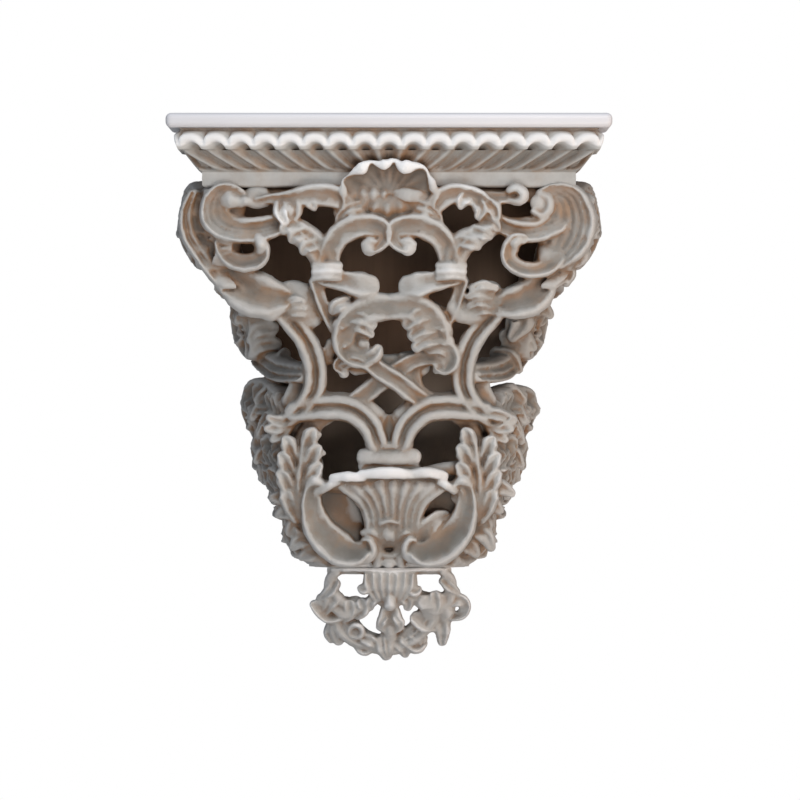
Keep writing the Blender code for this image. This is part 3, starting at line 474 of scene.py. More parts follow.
def bellyLeaves(carving, side):
    lay = partial(stroke, carving, frontPlace(side))
    if side < 0:
        lay([(102, 101, -6), (93, 92, -3), (84, 81, -1), (76, 70, 0)], (28, 42, 40, 24), (10, 13, 13, 10), "roll", 16)
        for x, z in ((84, 90), (83, 83), (84, 76)):
            lay([(x, z, 9), (x + 10, z + 2, 10), (x + 20, z - 2, 7)], (5, 8, 5), (6, 7, 6), "lobe", 9)
        # smooth belly, two ripples on it and the roll along its foot
        lay([(166, 112, -8), (152, 105, -4), (136, 98, -1), (120, 94, 1), (105, 93, 1)], (22, 42, 48, 44, 28),
            (12, 16, 17, 13), "trough", 16)
        for i, x in enumerate((148, 128)):
            lay([(x + 9, 113 - i, 1), (x, 104 - i, 3), (x - 9, 95, 4)], (5, 7, 5), (4, 5, 4), "roll", 9)
        lay([(160, 98, 0), (150, 86, 7), (136, 80, 10), (121, 78, 10)], (9, 13, 14, 10), (10, 13, 11), "roll", 14)
        lay([(127, 78, 9), (117, 76, 11), (105, 82, 9)], (10, 13, 8), (11, 13, 9), "roll", 14)
    else:
        lay([(106, 101, -6), (94, 92, -3), (83, 85, -1), (71, 82, 0), (62, 86, 0)], (24, 40, 40, 28, 14),
            (10, 13, 14, 11), "roll", 16)
        for x, z in ((82, 102), (78, 94), (80, 85), (84, 77)):
            lay([(x, z, 10), (x + 12, z + 4, 11), (x + 26, z + 1, 7)], (7, 11, 8), (7, 8, 6), "lobe", 9)
        # smooth belly, ripples and roll
        lay([(164, 114, -8), (153, 104, -2), (140, 94, 1), (122, 88, 2), (106, 84, 1)], (18, 34, 40, 34, 20),
            (12, 16, 17, 13), "trough", 16)
        for i, x in enumerate((154, 138)):
            lay([(x + 6, 110 - 2 * i, 1), (x - 5, 101 - 2 * i, 3), (x - 18, 89 - i, 4)], (5, 7, 5), (4, 5, 4), "roll",
                9)
        lay([(160, 90, 1), (144, 81, 8), (126, 78, 9), (110, 81, 7)], (9, 13, 12, 8), (10, 13, 10), "roll", 14)


def ogeeStrap(carving, side):
    lay = partial(stroke, carving, frontPlace(side))
    lay([(114, 85, 1), (104, 76, 2), (95, 66, 2), (86, 55, 3), (80, 44, 3), (76, 32, 3), (74, 18, 3), (75, 4, 3),
         (81, -9, 3), (92, -22, 2), (104, -31, -1), (112, -36, -5)], (18, 21, 22, 23, 24, 24, 24, 23, 21, 19, 15, 9),
        (13, 16, 16, 15, 10), "strap", 17)
    # bed in the bend of the strap
    lay([(84, 20, -16), (90, 2, -14), (100, -14, -14)], (20, 24, 20), 8, "flat", 14)
    for tipX, tipZ, out in ((122, -26, 4), (124, -38, 5), (118, -50, 3)):    # leaf ends under the strap's foot
        lay([(98, -30, -4), ((98 + tipX) / 2, (tipZ - 24) / 2 - 6, 1), (tipX, tipZ, out)], (12, 16, 7), (10, 12, 7),
            "lobe", 13)


def arch(carving, side):
    lay = partial(stroke, carving, frontPlace(side))
    lay([(99, -22, 2), (80, -18, 3), (60, -16, 4), (41, -18, 4), (27, -26, 4), (17, -38, 4), (11, -54, 4)],
        (20, 25, 27, 27, 26, 25, 22), (13, 16, 17, 17, 15), "strap", 17)
    if side < 0:
        lay([(58, -23, -5), (72, -30, -6), (82, -44, -7), (84, -60, -8), (78, -78, -8)], (16, 19, 22, 26, 26), 10,
            "flat", 12)
        for z, reach in ((-43, 7), (-62, 11)):
            lay([(84, z - 8, 0), (77, z - 3, 5), (84 - reach - 8, z, 7)], (9, 10, 5), (10, 11, 7), "lobe", 12)
    else:
        lay([(66, -24, -5), (79, -33, -6), (86, -48, -7), (86, -64, -8), (80, -80, -8)], (14, 17, 18, 18, 18), 10,
            "flat", 12)
        lay([(34, -82, 1), (56, -79, -1), (78, -76, -5)], (12, 15, 14), 9, "roll", 14)
        lay([(92, -22, 2), (110, -24, 3), (126, -30, 0)], (13, 15, 10), (12, 13, 8), "lobe", 15)
    # beds over the crown and down to the capital
    lay([(84, -4, -4), (66, -8, -3), (44, -8, -4), (24, -10, -4)], (20, 16, 14, 12), 10, "flat", 14)
    lay([(70, 8, -5), (74, -6, -4)], (16, 18), 9, "flat", 12)
    lay([(20, -22, -2), (10, -34, -3), (2, -44, -3)], (12, 16, 14), 9, "flat", 12)


def crossing(carving, side):
    place = frontPlace(side)
    lay = partial(stroke, carving, place)
    over = side < 0     # the left strap passes over the right one
    high = 10 if over else 1
    lay([(46, 20, 8), (52, 24, 8), (49, 30, 8), (37, 32, high), (22, 29, high), (7, 19, high), (-9, 9, high),
         (-22, -1, high - 2), (-36, -11, 1)], (7, 9, 10, 13, 17, 20, 20, 20, 18), (8, 10, 12, 13, 13, 11),
        "trough" if over else "shallow", 14)
    if over:
        ball(carving, place, (45, 18, 9), 5.5, 1.1)
        lay([(44, 33, 11), (34, 34, 13), (20, 29, 14)], (4, 6, 5), (9, 10, 8), "roll", 12)
    else:
        lay([(30, 34, -2), (25, 18, -2), (29, 2, -1), (42, -8, -1)], (12, 14, 14, 14), (11, 13, 11), "dish", 13)
    lay([(72, -4, -2), (56, -9, -1), (38, -10, 0), (23, -14, 0), (9, -25, 0)], (16, 14, 14, 14, 13), 11, "roll", 13)


def capital(carving):
    lay = partial(stroke, carving, frontPlace(1))
    lay([(0, -27, -3), (0, -40, 0), (0, -54, 3)], (14, 24, 38), 12, "trough", 14)
    lay([(-22, -53, 5), (0, -54, 8), (22, -53, 5)], 9, 8, "roll", 16)
    lay([(-28, -66, 6), (0, -67, 9), (28, -66, 6)], 16, 9, "flat", 16)
    lay([(-29, -76, 5), (0, -77, 8), (29, -76, 5)], 8, 7, "roll", 14)


def urn(carving):
    place = frontPlace(1)
    lay = partial(stroke, carving, place)
    bell = ((-150, 27, 5), (-140, 29, 4), (-130, 30, 4), (-120, 33, 5), (-110, 40, 7), (-102, 51, 9), (-96, 60, 9),
            (-92, 62, 8))
    lay([(4, z, out) for z, half, out in bell], tuple(2 * half for z, half, out in bell), 10, "flat", 20, 3)
    for i in range(-4, 5):    # ridges that flare out to the rim
        share = i / 4.7
        points = [(4 + share * half, z, out + 8 - 3.6 * share ** 2) for z, half, out in bell]
        lay(points, (5, 5, 6, 8, 9), (4.4, 5.4, 5), "roll", 8, 3)
    lay([(-20, -138, 5), (0, -138, 8), (20, -138, 5)], 9, 8, "roll", 14)
    rim = (((-70, -101, 14), (-60, -95, 17), (-50, -91, 18), 9), ((-58, -88, 18), (-43, -86, 22), (-24, -87, 22), 11),
           ((-29, -84, 23), (-2, -82, 27), (26, -84, 23), 12), ((23, -83, 23), (41, -82, 24), (57, -86, 19), 12),
           ((49, -91, 19), (58, -95, 20), (67, -101, 15), 9))
    for one, two, three, width in rim:
        lay([one, two, three], (width * 0.8, width, width * 0.8), (6, 8, 6), "flat", 15)
    # band under the rim, then what flanks the foot
    lay([(-56, -95, 6), (0, -91, 10), (56, -95, 6)], 10, 8, "flat", 16)
    for s in (-1, 1):
        layHalf = partial(stroke, carving, frontPlace(s))
        layHalf([(64, -100, -14), (58, -120, -13), (46, -140, -11), (30, -154, -7)], (36, 52, 50, 28), 8, "flat", 12)
        layHalf([(8, -149, 8), (17, -141, 9), (28, -143, 6)], (8, 10, 6), (8, 10, 7), "roll", 14)
        layHalf([(12, -153, 5), (10, -164, 6), (12, -178, 5)], (10, 9, 10), 10, "roll", 16)
    # boss, ring and drop down the middle of the foot
    ball(carving, place, (0, -141, 11), 8.5, 0.8)
    lay([(-9, -133, 11), (0, -130, 13), (9, -133, 11)], (5, 6, 5), 8, "roll", 12)
    ringPath = [(9.0 * math.cos(a), -157 + 8.5 * math.sin(a), 6) for a in np.linspace(0, 2 * math.pi, 9)]
    lay(ringPath, 8, 9, "roll", 13, 3)
    lay([(0, -150, -2), (0, -164, -2)], 16, 6, "flat", 10)
    ball(carving, place, (0, -173, 10), 6.5)
    lay([(-66, -172, -12), (0, -172, -9), (66, -172, -12)], 16, 9, "flat", 22)


def urnScroll(carving, side):
    place = frontPlace(side)
    lay = partial(stroke, carving, place)
    # broad scroll round the urn, and its curl at the foot
    lay([(76, -93, 8), (78, -106, 8), (77, -121, 8), (72, -136, 8), (62, -149, 9), (49, -159, 10), (36, -163, 11),
         (25, -160, 12)], (13, 20, 25, 31, 35, 36, 30, 19), (12, 15, 18, 19, 19, 15), "shallow", 19)
    lay([(34, -168, 11), (22, -168, 12), (16, -159, 13), (20, -150, 13), (27, -150, 12)], (13, 12, 10, 8, 5),
        (14, 14, 13, 10), "roll", 15)
    ball(carving, place, (25, -157, 10), 4.5, 1.1)
    # lip at the top, and the roll outside it
    lay([(66, -94, 10), (74, -90, 12), (82, -96, 11)], (9, 14, 9), (11, 13, 10), "roll", 15)
    lay([(86, -112, -6), (83, -132, -6), (72, -152, -4), (56, -167, -3)], (16, 18, 18, 16), 10, "roll", 16)
    if side > 0:
        lay([(58, -124, 0), (50, -127, 2), (41, -135, 4), (34, -145, 5), (33, -153, 5)], (9, 15, 19, 18, 12),
            (8, 11, 12, 10), "shallow", 14)
        ball(carving, place, (70, -106, 6), 8, 0.8)


def cornerLeaf(carving, side):
    lay = partial(stroke, carving, frontPlace(side))
    spine = [(88, -128, 3), (91, -108, 5), (91, -88, 6), (88, -68, 7), (86, -48, 8)]
    lay([(x, z, out - 8) for x, z, out in spine], (18, 30, 32, 26, 12), 8, "flat", 16)
    for rootZ, reach, lift in ((-119, 15, 5), (-101, 19, 8), (-83, 18, 10), (-66, 13, 11)):
        for s in (-1, 1):
            root = 90 + 2 * s
            fall = 4 * s     # the outer fronds start lower
            lay([(root, rootZ - 8 - fall, 3), (root + s * reach * 0.4, rootZ + 4 - fall, 5),
                 (root + s * reach * 0.74, rootZ + 18 - fall, 5 + lift * 0.6),
                 (root + s * reach, rootZ + 23 - fall, 4 + lift)], (9, 16, 18, 9), (10, 13, 13, 8), "lobe", 13, 3)
    lay([(x, z, out + 1) for x, z, out in spine], (9, 10, 9, 8, 6), (11, 12, 10), "roll", 14)
    # bed and leaves that hang round the corner
    lay([(98, -104, -13), (92, -124, -14), (84, -142, -15), (68, -160, -15)], (16, 26, 26, 20), 8, "flat", 16)
    lower = {-1: ((92, -112, 106, -107, 119, -107), (88, -124, 102, -121, 113, -125), (84, -138, 96, -136, 101, -145),
                  (76, -149, 90, -151, 98, -159), (66, -161, 80, -164, 90, -168)),
             1: ((96, -102, 111, -97, 125, -104), (92, -115, 104, -114, 113, -122), (84, -128, 95, -129, 101, -139),
                 (84, -140, 97, -146, 104, -160), (70, -154, 82, -157, 89, -166))}
    for x, z, overX, overZ, tipX, tipZ in lower[side]:
        lay([(x, z, -8), (overX, overZ, -4), (tipX, tipZ, -7)], (15, 19, 8), (10, 11, 6), "lobe", 9)


def shellCrest(carving):
    place = frontPlace(1)
    lay = partial(stroke, carving, place)

    def edge(angle):
        ruffle = 1.0 + 0.03 * math.sin(9.0 * angle + 0.6) + 0.015 * math.sin(23.0 * angle)
        return ruffle * (abs(math.cos(angle) / 46) ** 2.6 + abs(math.sin(angle) / 35) ** 2.6) ** (-1 / 2.6)

    standOff = ((0.1, 12), (0.3, 9), (0.6, 9), (0.8, 12), (0.92, 16), (1.0, 20))     # from the hinge to the edge
    fanShell(carving, place, (0, 193), (192, -12), edge, standOff, ribs=11, depth=3.4, inner=0.1, thick=9.0,
             scallop=0.05)
    ruffle = (3, 3, 9, 7, 3, 3, 9, 13, 9, 3, 7, 12, 8, 3, 9, 14, 13, 7, 3, 4, 9, 10, 5, 3, 3)
    rim = []
    # one ruffled lip that curls over the hollow
    for i, a in enumerate(np.radians(np.linspace(194, -14, len(ruffle)))):
        reach = edge(a) - 0.4 * (ruffle[i] - 6)
        rim.append((reach * math.cos(a), 193 + reach * math.sin(a), 13 + 6 * math.sin(a) + 0.25 * ruffle[i]))
    lay(rim, ruffle, tuple(4.5 + 0.35 * w for w in ruffle), "flat", 9, 3)
    # ribs that end in a lip
    for x, low, width in ((-45, 190, 9), (-36, 188, 11), (-26, 187, 12), (-15, 188, 12), (-5, 191, 8)):
        lay([(x * 0.86, 205, 3), (x, 197, 8), (x * 1.02, low, 6)], (width * 0.8, width, width * 0.9), (6, 8, 6),
            "roll", 14)
    lay([(5, 198, 6), (15, 196, 9), (28, 194, 9), (41, 192, 5), (50, 194, 2)], (8, 15, 16, 12, 8), (6, 8, 8, 6),
        "flat", 16)
    # beads at the hinge
    for x, z, r in ((-26, 183, 5.5), (-14, 180, 6.5), (-1, 177, 7), (12, 180, 6.5), (25, 184, 5.5)):
        lay([(x * 0.8, z + 10, 5), (x, z + 3, 5), (x * 1.05, z - 5, 2)], (r * 1.3, r * 2.0, r * 1.2), (8, 9, 7),
            "roll", 14)
    lay([(-38, 178, -3), (0, 173, -1), (38, 178, -3)], (20, 26, 20), 10, "flat", 14)
    lay([(-40, 189, -1), (0, 186, 3), (40, 189, -1)], (18, 20, 18), 9, "flat", 14)
    for s in (-1, 1):
        layHalf = partial(stroke, carving, frontPlace(s))
        layHalf([(30, 186, 7), (40, 183, 8), (49, 175, 4), (52, 166, 1)], (12, 12, 9, 5), (11, 12, 8), "lobe", 13)
        layHalf([(26, 179, 7), (36, 174, 8), (42, 166, 4)], (9, 10, 6), (10, 11, 7), "lobe", 13)


def rails(carving):
    lay = partial(stroke, carving, frontPlace(1))
    lay([(x, 199, -9) for x in (-184, -92, 0, 92, 184)], 10, 6, "flat", 16)
    lay([(-98, -90, -10), (-50, -97, -6), (0, -98, -6), (50, -97, -6), (98, -90, -10)], 12, 6, "flat", 10)
    lay([(0, 89, 2), (0, 80, 3)], (18, 22), 12, "dish", 14)
    rear, corner = level(carvedBody["rearHalf"], -170), level(carvedBody["cornerHalf"], -170)
    for depth in range(14, 100, 12):    # the flat foot that the pendant meets
        half = rear + (corner - rear) * depth / 100
        stroke(carving, seamPlace(depth, carvedBody["seam"], 1.0), [(-half + 4, 0), (0, 0), (half - 4, 0)], 14, 4,
               "flat", 4)


# The flanks: run is measured along the side from the wall, out from its face

def flankScrolls(carving, side):
    place = flankPlace(side)
    lay = partial(stroke, carving, place)
    frond = partial(acanthus, carving, place)       # spine, reach, lobes, height, back, lift, sweep
    top = {-1: 0.0, 1: -7.0}[side]

    def curl(points, width, height, eye):
        lay(points, width, height, "dish", 16)
        ball(carving, place, (points[-1][0], points[-1][1], 6), eye, 1.2)
        for i, (run, z, out) in enumerate(points[1:-2]):    # leaf ends along the band
            ahead = np.array(points[i + 2][:2]) - np.array((run, z))
            ahead = ahead / np.linalg.norm(ahead)
            tip = np.array((run, z)) + ahead * 13 + np.array((-ahead[1], ahead[0])) * 9
            lay([(run, z, out + 3), (run + ahead[0] * 9, z + ahead[1] * 9, out + 7), (tip[0], tip[1], out + 9)],
                (18, 20, 8), (10, 12, 7), "lobe", 12, 3)

    # top rail, then curls, fronds and reeded bands from the top down
    lay([(214, 198), (108, 198), (4, 198)], 13, 6, "roll", 16)
    curl([(200, 184, 2), (160, 195, 4), (110, 196, 6), (52, 190, 8), (18, 172, 8), (14, 150, 6), (32, 134, 4),
          (56, 138, 6), (62, 154, 6)], (22, 28, 31, 32, 30, 26, 20, 13), (13, 16, 18, 15), 9)
    frond([(206, 158, 0), (168, 168, 2), (128, 166, 4), (92, 152, 6)], 24, 5, 14, 15, 7, 1.3)
    lay([(204, 140), (160, 124, 2), (100, 116, 2), (40, 112, 2), (6, 104, 2)], (32, 30, 28, 28, 24), (13, 16, 14),
        "reeds", 16)
    lay([(24, 140, 0), (14, 118, 2), (10, 96, 2)], (20, 24, 20), 13, "roll", 15)
    frond([(184, 112, 0), (156, 104, 2), (122, 102, 4)], 18, 4, 13, 14, 6, 1.2)
    curl([(158, 92, 0), (124, 92, 2), (70, 90, 4), (24, 84, 6), (10, 62, 6), (20, 44, 4), (40, 42, 6), (46, 56, 6)],
         (24, 28, 30, 28, 24, 20, 13), (13, 16, 17, 13), 8)
    frond([(52, 76, 2), (44, 66, 4), (38, 54, 4)], 14, 3, 12, 14, 5, 1.1)
    lay([(160, 18, 1), (112, 19, 2), (74, 22, 2), (36, 31, 2), (14, 36, 2)], (20, 23, 24, 22, 16), (12, 15, 12),
        "reeds", 15)
    lay([(150, -17), (120, -20), (88, -18, 2), (56, -10, 4)], (14, 16, 18, 18), (10, 13, 13), "roll", 14)
    curl([(92, -8, 2), (56, top, 4), (22, top - 3, 6), (12, -26, 2), (28, -42, 0), (48, -44, 2), (58, -32, 4)],
         (20, 28, 28, 24, 20, 17, 12), (13, 16, 15, 12), 8)
    frond([(136, -34, 0), (112, -26, 2), (90, -22, 4), (72, -28, 6)], 19, 4, 13, 14, 7, 1.2)
    for i in range(6):      # rosette
        angle = math.radians(60 * i)
        tip = (34 + 13 * math.cos(angle), -24 + 13 * math.sin(angle))
        lay([(34, -24, 8), ((34 + tip[0]) / 2, (tip[1] - 24) / 2, 11), (*tip, 8)], (6, 11, 7), (11, 12, 8), "lobe", 13,
            3)
    ball(carving, place, (34, -24, 14), 6)
    curl([(134, -56, 0), (90, -54, 2), (44, -54, 4), (14, -64, 6), (14, -82, 6), (36, -88, 6), (50, -76, 6)],
         (22, 24, 24, 24, 20, 16, 11), (13, 16, 14), 7.5)
    frond([(126, -80, 0), (100, -78, 2), (74, -86, 4), (50, -98, 4)], 20, 4, 13, 14, 7, 1.2)
    frond([(120, -104, 0), (88, -106, 2), (54, -114, 4), (30, -128, 4), (20, -148, 4)], 25, 6, 14, 15, 8, 1.1)
    lay([(104, -134, 0), (66, -138, 0), (30, -142, 0), (12, -140, 2)], (28, 28, 26, 14), (11, 14, 10), "leaf", 15)
    lay([(100, -164, 0), (64, -166, 0), (30, -160, 2), (8, -150, 4)], (24, 26, 24, 16), (11, 14, 10), "leaf", 16)
    # leaves that face the front: depth, then root, middle and tip across and up, and width
    facing = {
        -1: ((40, (-16, 92), (0, 96), (14, 88), 17), (40, (-20, 78), (4, 80), (18, 70), 18),
             (44, (-18, 64), (0, 62), (13, 50), 18), (40, (-16, 48), (2, 46), (16, 36), 17),
             (50, (-20, 40), (-12, 34), (-6, 22), 14), (60, (-6, -2), (8, -2), (18, -10), 16),
             (54, (-8, -20), (8, -18), (18, -28), 16), (50, (-10, -66), (8, -62), (20, -72), 16),
             (40, (-8, -90), (4, -92), (10, -104), 14)),
        1: ((40, (-22, 104), (0, 108), (16, 102), 18), (40, (-20, 88), (8, 88), (26, 76), 20),
            (52, (-12, 78), (0, 70), (-4, 54), 27), (40, (-16, 56), (4, 55), (20, 43), 20),
            (44, (-18, 38), (0, 34), (15, 20), 19), (60, (-24, 30), (-14, 24), (-4, 16), 14),
            (60, (-10, -2), (8, 0), (20, -10), 18), (56, (-12, -18), (6, -18), (18, -32), 18),
            (50, (-14, -36), (4, -38), (15, -52), 17), (46, (-12, -64), (6, -62), (20, -76), 18),
            (40, (-10, -96), (6, -94), (18, -108), 17)),
    }
    for depth, root, middle, tip, width in facing[side]:
        stroke(carving, facingPlace(side, depth), [(*root, 0), (*middle, 6), (*tip, 4)],
               (width * 0.8, width, width * 0.45), (8, 9, 5), "lobe", 7, 4)
    # leaves down the side of the corner scroll
    for z, out in ((186, 21), (168, 28), (150, 27), (132, 24), (114, 22)):
        lay([(178, z + 8, out - 6), (192, z + 2, out), (202, z - 10, out)], (12, 16, 7), (7, 8, 5), "lobe", 12, 4)
    tips = {-1: ((150, 5), (-14, 5), (-62, 9), (-84, 6), (-108, 11), (-158, 8)),
            1: ((160, 6), (132, 5), (-20, 9), (-62, 8), (-100, 12), (-120, 8), (-154, 12))}
    for z, out in tips[side]:    # leaf tips that stand out of the outline
        for run in (14, 62, 110):
            if run < level(carvedBody["frontDepth"], z) - 20:
                lay([(run + 24, z + 8, 0), (run + 8, z + 3, out * 0.6), (run, z - 6, out)], (15, 14, 6), (11, 10, 5),
                    "lobe", 13, 3)


# The pendant

pendant = {"voxel": 1.1, "triangles": 80000, "smoothing": 4, "toneShift": 2.9, "chipsAndHighlights": ()}


def pendantStrokes(carving):
    place = frontPlace(1)
    lay = partial(stroke, carving, place)
    for depth in range(14, 92, 12):     # the flat top that meets the body
        half = 60 - 24 * (1 - depth / 92)
        stroke(carving, seamPlace(depth, carvedBody["seam"] - 2, -1.0), [(-half, 0), (0, 0), (half, 0)], 14, 5, "flat",
               4)
    lay([(-58, -180, 0), (-30, -180, 2), (0, -181, 3), (30, -180, 2), (58, -180, 0)], 6, 10, "roll", 26)
    pieces = (      # points, widths, height, profile
        # pierced rings
        ([(-52, -182, 2), (-60, -189, 3), (-60, -202, 4), (-54, -213, 6), (-43, -219, 6), (-30, -215, 5)],
         (9, 9, 11, 20, 24, 18), 11, "flat"),
        ([(-44, -216, 7), (-52, -208, 9), (-56, -198, 7)], (12, 12, 6), 11, "roll"),
        ([(54, -182, 2), (62, -189, 3), (63, -200, 4), (57, -211, 6), (45, -215, 6), (31, -210, 5)],
         (9, 9, 10, 18, 24, 18), 11, "flat"),
        # middle leaf and its nose
        ([(1, -182, 3), (1, -198, 8), (0, -213, 7)], (54, 56, 30), 11, "flat"),
        ([(-18, -196, 8), (-26, -200, 11), (-30, -198, 9)], (12, 12, 6), 10, "lobe"),
        ([(18, -198, 8), (26, -202, 11), (31, -199, 9)], (12, 12, 6), 10, "lobe"),
        ([(-14, -208, 7), (-19, -214, 9), (-20, -221, 7)], (12, 13, 7), 11, "lobe"),
        ([(14, -208, 7), (19, -214, 9), (18, -221, 7)], (12, 13, 7), 11, "lobe"),
        ([(1, -208, 14), (1, -217, 17), (1, -221, 13)], (10, 13, 8), 11, "roll"),
        ([(1, -220, 5), (1, -231, 9), (1, -240, 9)], (20, 27, 29), 11, "trough"),
        ([(-4, -228, 12), (-8, -234, 15), (-9, -239, 12)], (8, 10, 6), 9, "lobe"),
        ([(6, -228, 12), (11, -234, 15), (12, -239, 12)], (8, 10, 6), 9, "lobe"),
        ([(1, -238, 6), (1, -252, 7)], (12, 14), 11, "roll"),
        # leaves below the rings, then the left half
        ([(-46, -222, 4), (-44, -236, 5), (-31, -249, 3), (-10, -256, 5)], (24, 30, 24, 18), 11, "leaf"),
        ([(-54, -192, 6), (-60, -202, 9), (-70, -210, 6)], (12, 14, 6), 11, "lobe"),
        ([(-52, -206, 8), (-60, -215, 11), (-66, -226, 8)], (14, 16, 7), 11, "lobe"),
        ([(-40, -214, 8), (-40, -224, 11), (-47, -233, 9)], (15, 16, 7), 11, "lobe"),
        ([(-28, -212, 7), (-26, -221, 10), (-33, -229, 9)], (13, 14, 7), 10, "lobe"),
        ([(54, -190, 6), (62, -198, 9), (70, -204, 6)], (10, 13, 6), 11, "lobe"),
        ([(46, -205, 8), (47, -216, 12), (42, -226, 9)], (14, 16, 8), 11, "lobe"),
        ([(-50, -224, 5), (-61, -228, 8), (-70, -222, 10), (-77, -214, 9)], (18, 15, 13, 9), 12, "shallow"),
        ([(-48, -230, 3), (-53, -243, 6), (-51, -256, 5)], (22, 20, 9), 12, "leaf"),
        ([(-56, -234, 2), (-61, -245, 4), (-58, -254, 4)], (13, 12, 7), 10, "lobe"),
        ([(-26, -250, 7), (-17, -254, 9), (-12, -261, 6)], (14, 14, 8), 11, "lobe"),
        ([(-16, -254, 3), (-25, -262, 5), (-33, -258, 4)], (14, 14, 8), 11, "lobe"),
        # right half
        ([(44, -218, 5), (36, -233, 6), (24, -246, 6), (8, -256, 5)], (24, 24, 22, 18), 11, "leaf"),
        ([(34, -210, 8), (41, -219, 10), (39, -229, 8)], (17, 20, 13), 12, "flat"),
        ([(52, -208, 6), (56, -220, 8), (52, -231, 5)], (18, 22, 16), 13, "roll"),
        ([(60, -213, 6), (71, -211, 8), (77, -217, 8), (73, -226, 6), (62, -229, 4)], (14, 14, 12, 11, 9), 11,
         "shallow"),
        ([(52, -229, 4), (54, -242, 7), (54, -257, 5)], (20, 17, 8), 12, "lobe"),
        ([(26, -228, 5), (36, -236, 9), (47, -238, 6)], (15, 18, 12), 12, "dish"),
        ([(16, -250, 5), (27, -259, 7), (36, -255, 5)], (17, 16, 8), 12, "lobe"),
        ([(22, -246, 8), (29, -250, 10), (30, -257, 8)], (10, 10, 6), 9, "lobe"),
        # tips at the foot
        ([(-5, -252, 6), (-4, -262, 9), (-2, -271, 5)], (24, 20, 9), 12, "leaf"),
        ([(9, -254, 5), (15, -262, 7), (17, -269, 5)], (16, 14, 7), 11, "lobe"),
    )
    for points, width, height, profile in pieces:
        lay(points, width, (height * 0.85, height, height * 0.75), profile, 20)
    for i in range(-3, 4):      # veins of the middle leaf
        lay([(8 * i, -185, 12), (7.4 * i, -198, 17), (4.6 * i, -212, 14)], (3, 5, 3), 4, "roll", 9)
    lay([(-38, -249, 1), (-20, -257, 3), (0, -260, 4), (18, -256, 3), (36, -249, 1)], (10, 15, 16, 15, 10), 9, "flat",
        16)
    knot = [(-34 + 7 * math.cos(a), -243 + 6.5 * math.sin(a), 10) for a in np.linspace(0, 2 * math.pi, 9)]
    lay(knot, 6.5, 9, "roll", 14, 3)
    for x, z in ((-34, -243), (-68, -211), (25, -207)):
        ball(carving, place, (x, z, 8), 6.5, 0.9)


reliefMarks = {
    "rounds": 60, "pull": 0.6,      # how often, and how far, the form is smoothed that relief is measured from
    "most": 4.4,                    # no relief counts for more, in millimetres
    "full": 1.5,                    # chips and painted highlights are full where the form stands out as far as this
    # painted shadow under the board and cornice: how much less what lies there counts as facing up, from which height,
    # and over how much more
    "boardShadow": 0.55, "from": 0.08, "over": 0.11,
}


def markRelief(piece, toneShift, chipsAndHighlights):
    # How far each point stands out of, or lies in, the smoothed form round it, in millimetres
    mesh = piece.data
    count = len(mesh.vertices)
    spots = np.empty(count * 3)
    mesh.vertices.foreach_get("co", spots)
    spots = spots.reshape(-1, 3)
    ends = np.empty(len(mesh.edges) * 2, dtype=np.int64)
    mesh.edges.foreach_get("vertices", ends)
    a, b = ends.reshape(-1, 2).T
    links = np.bincount(a, minlength=count) + np.bincount(b, minlength=count)
    even = spots.copy()
    for i in range(reliefMarks["rounds"]):
        total = np.stack([np.bincount(a, even[b, k], count) + np.bincount(b, even[a, k], count)
                          for k in range(3)], axis=1)
        even = (1 - reliefMarks["pull"]) * even + reliefMarks["pull"] * total / links[:, None]
    away = np.empty(count * 3)
    mesh.vertex_normals.foreach_get("vector", away)
    stands = np.sum((spots - even) * away.reshape(-1, 3), axis=1) / mm
    stands = reliefMarks["most"] * np.tanh(stands / reliefMarks["most"]) + toneShift
    # chips and painted highlights: the listed spots are made to stand out further, so they are painted paler
    for x, z, wide, high, amount in chipsAndHighlights:
        near = np.exp(-((spots[:, 0] / mm - x) / wide) ** 2 - ((spots[:, 2] / mm - z) / high) ** 2)
        stands += amount * near * np.clip(stands / reliefMarks["full"], 0, 1)
    # painted shadow of the board and cornice: high up, a surface counts as facing up less, so it gets less painted top
    # light and more painted shade
    inBoardShadow = np.clip((spots[:, 2] - reliefMarks["from"]) / reliefMarks["over"], 0, 1)
    upward = away.reshape(-1, 3)[:, 2] - reliefMarks["boardShadow"] * inBoardShadow
    for name, values in (("relief", stands), ("upward", upward)):
        mesh.attributes.new(name, "FLOAT", "POINT").data.foreach_set("value", values.astype(np.float32))
    print(piece.name, "relief", [round(float(v), 2) for v in np.percentile(stands, [5, 25, 50, 75, 95])])


chisel = {"grain": 0.010, "depth": 0.0018}      # the uneven mark that the tools leave all over, in metres


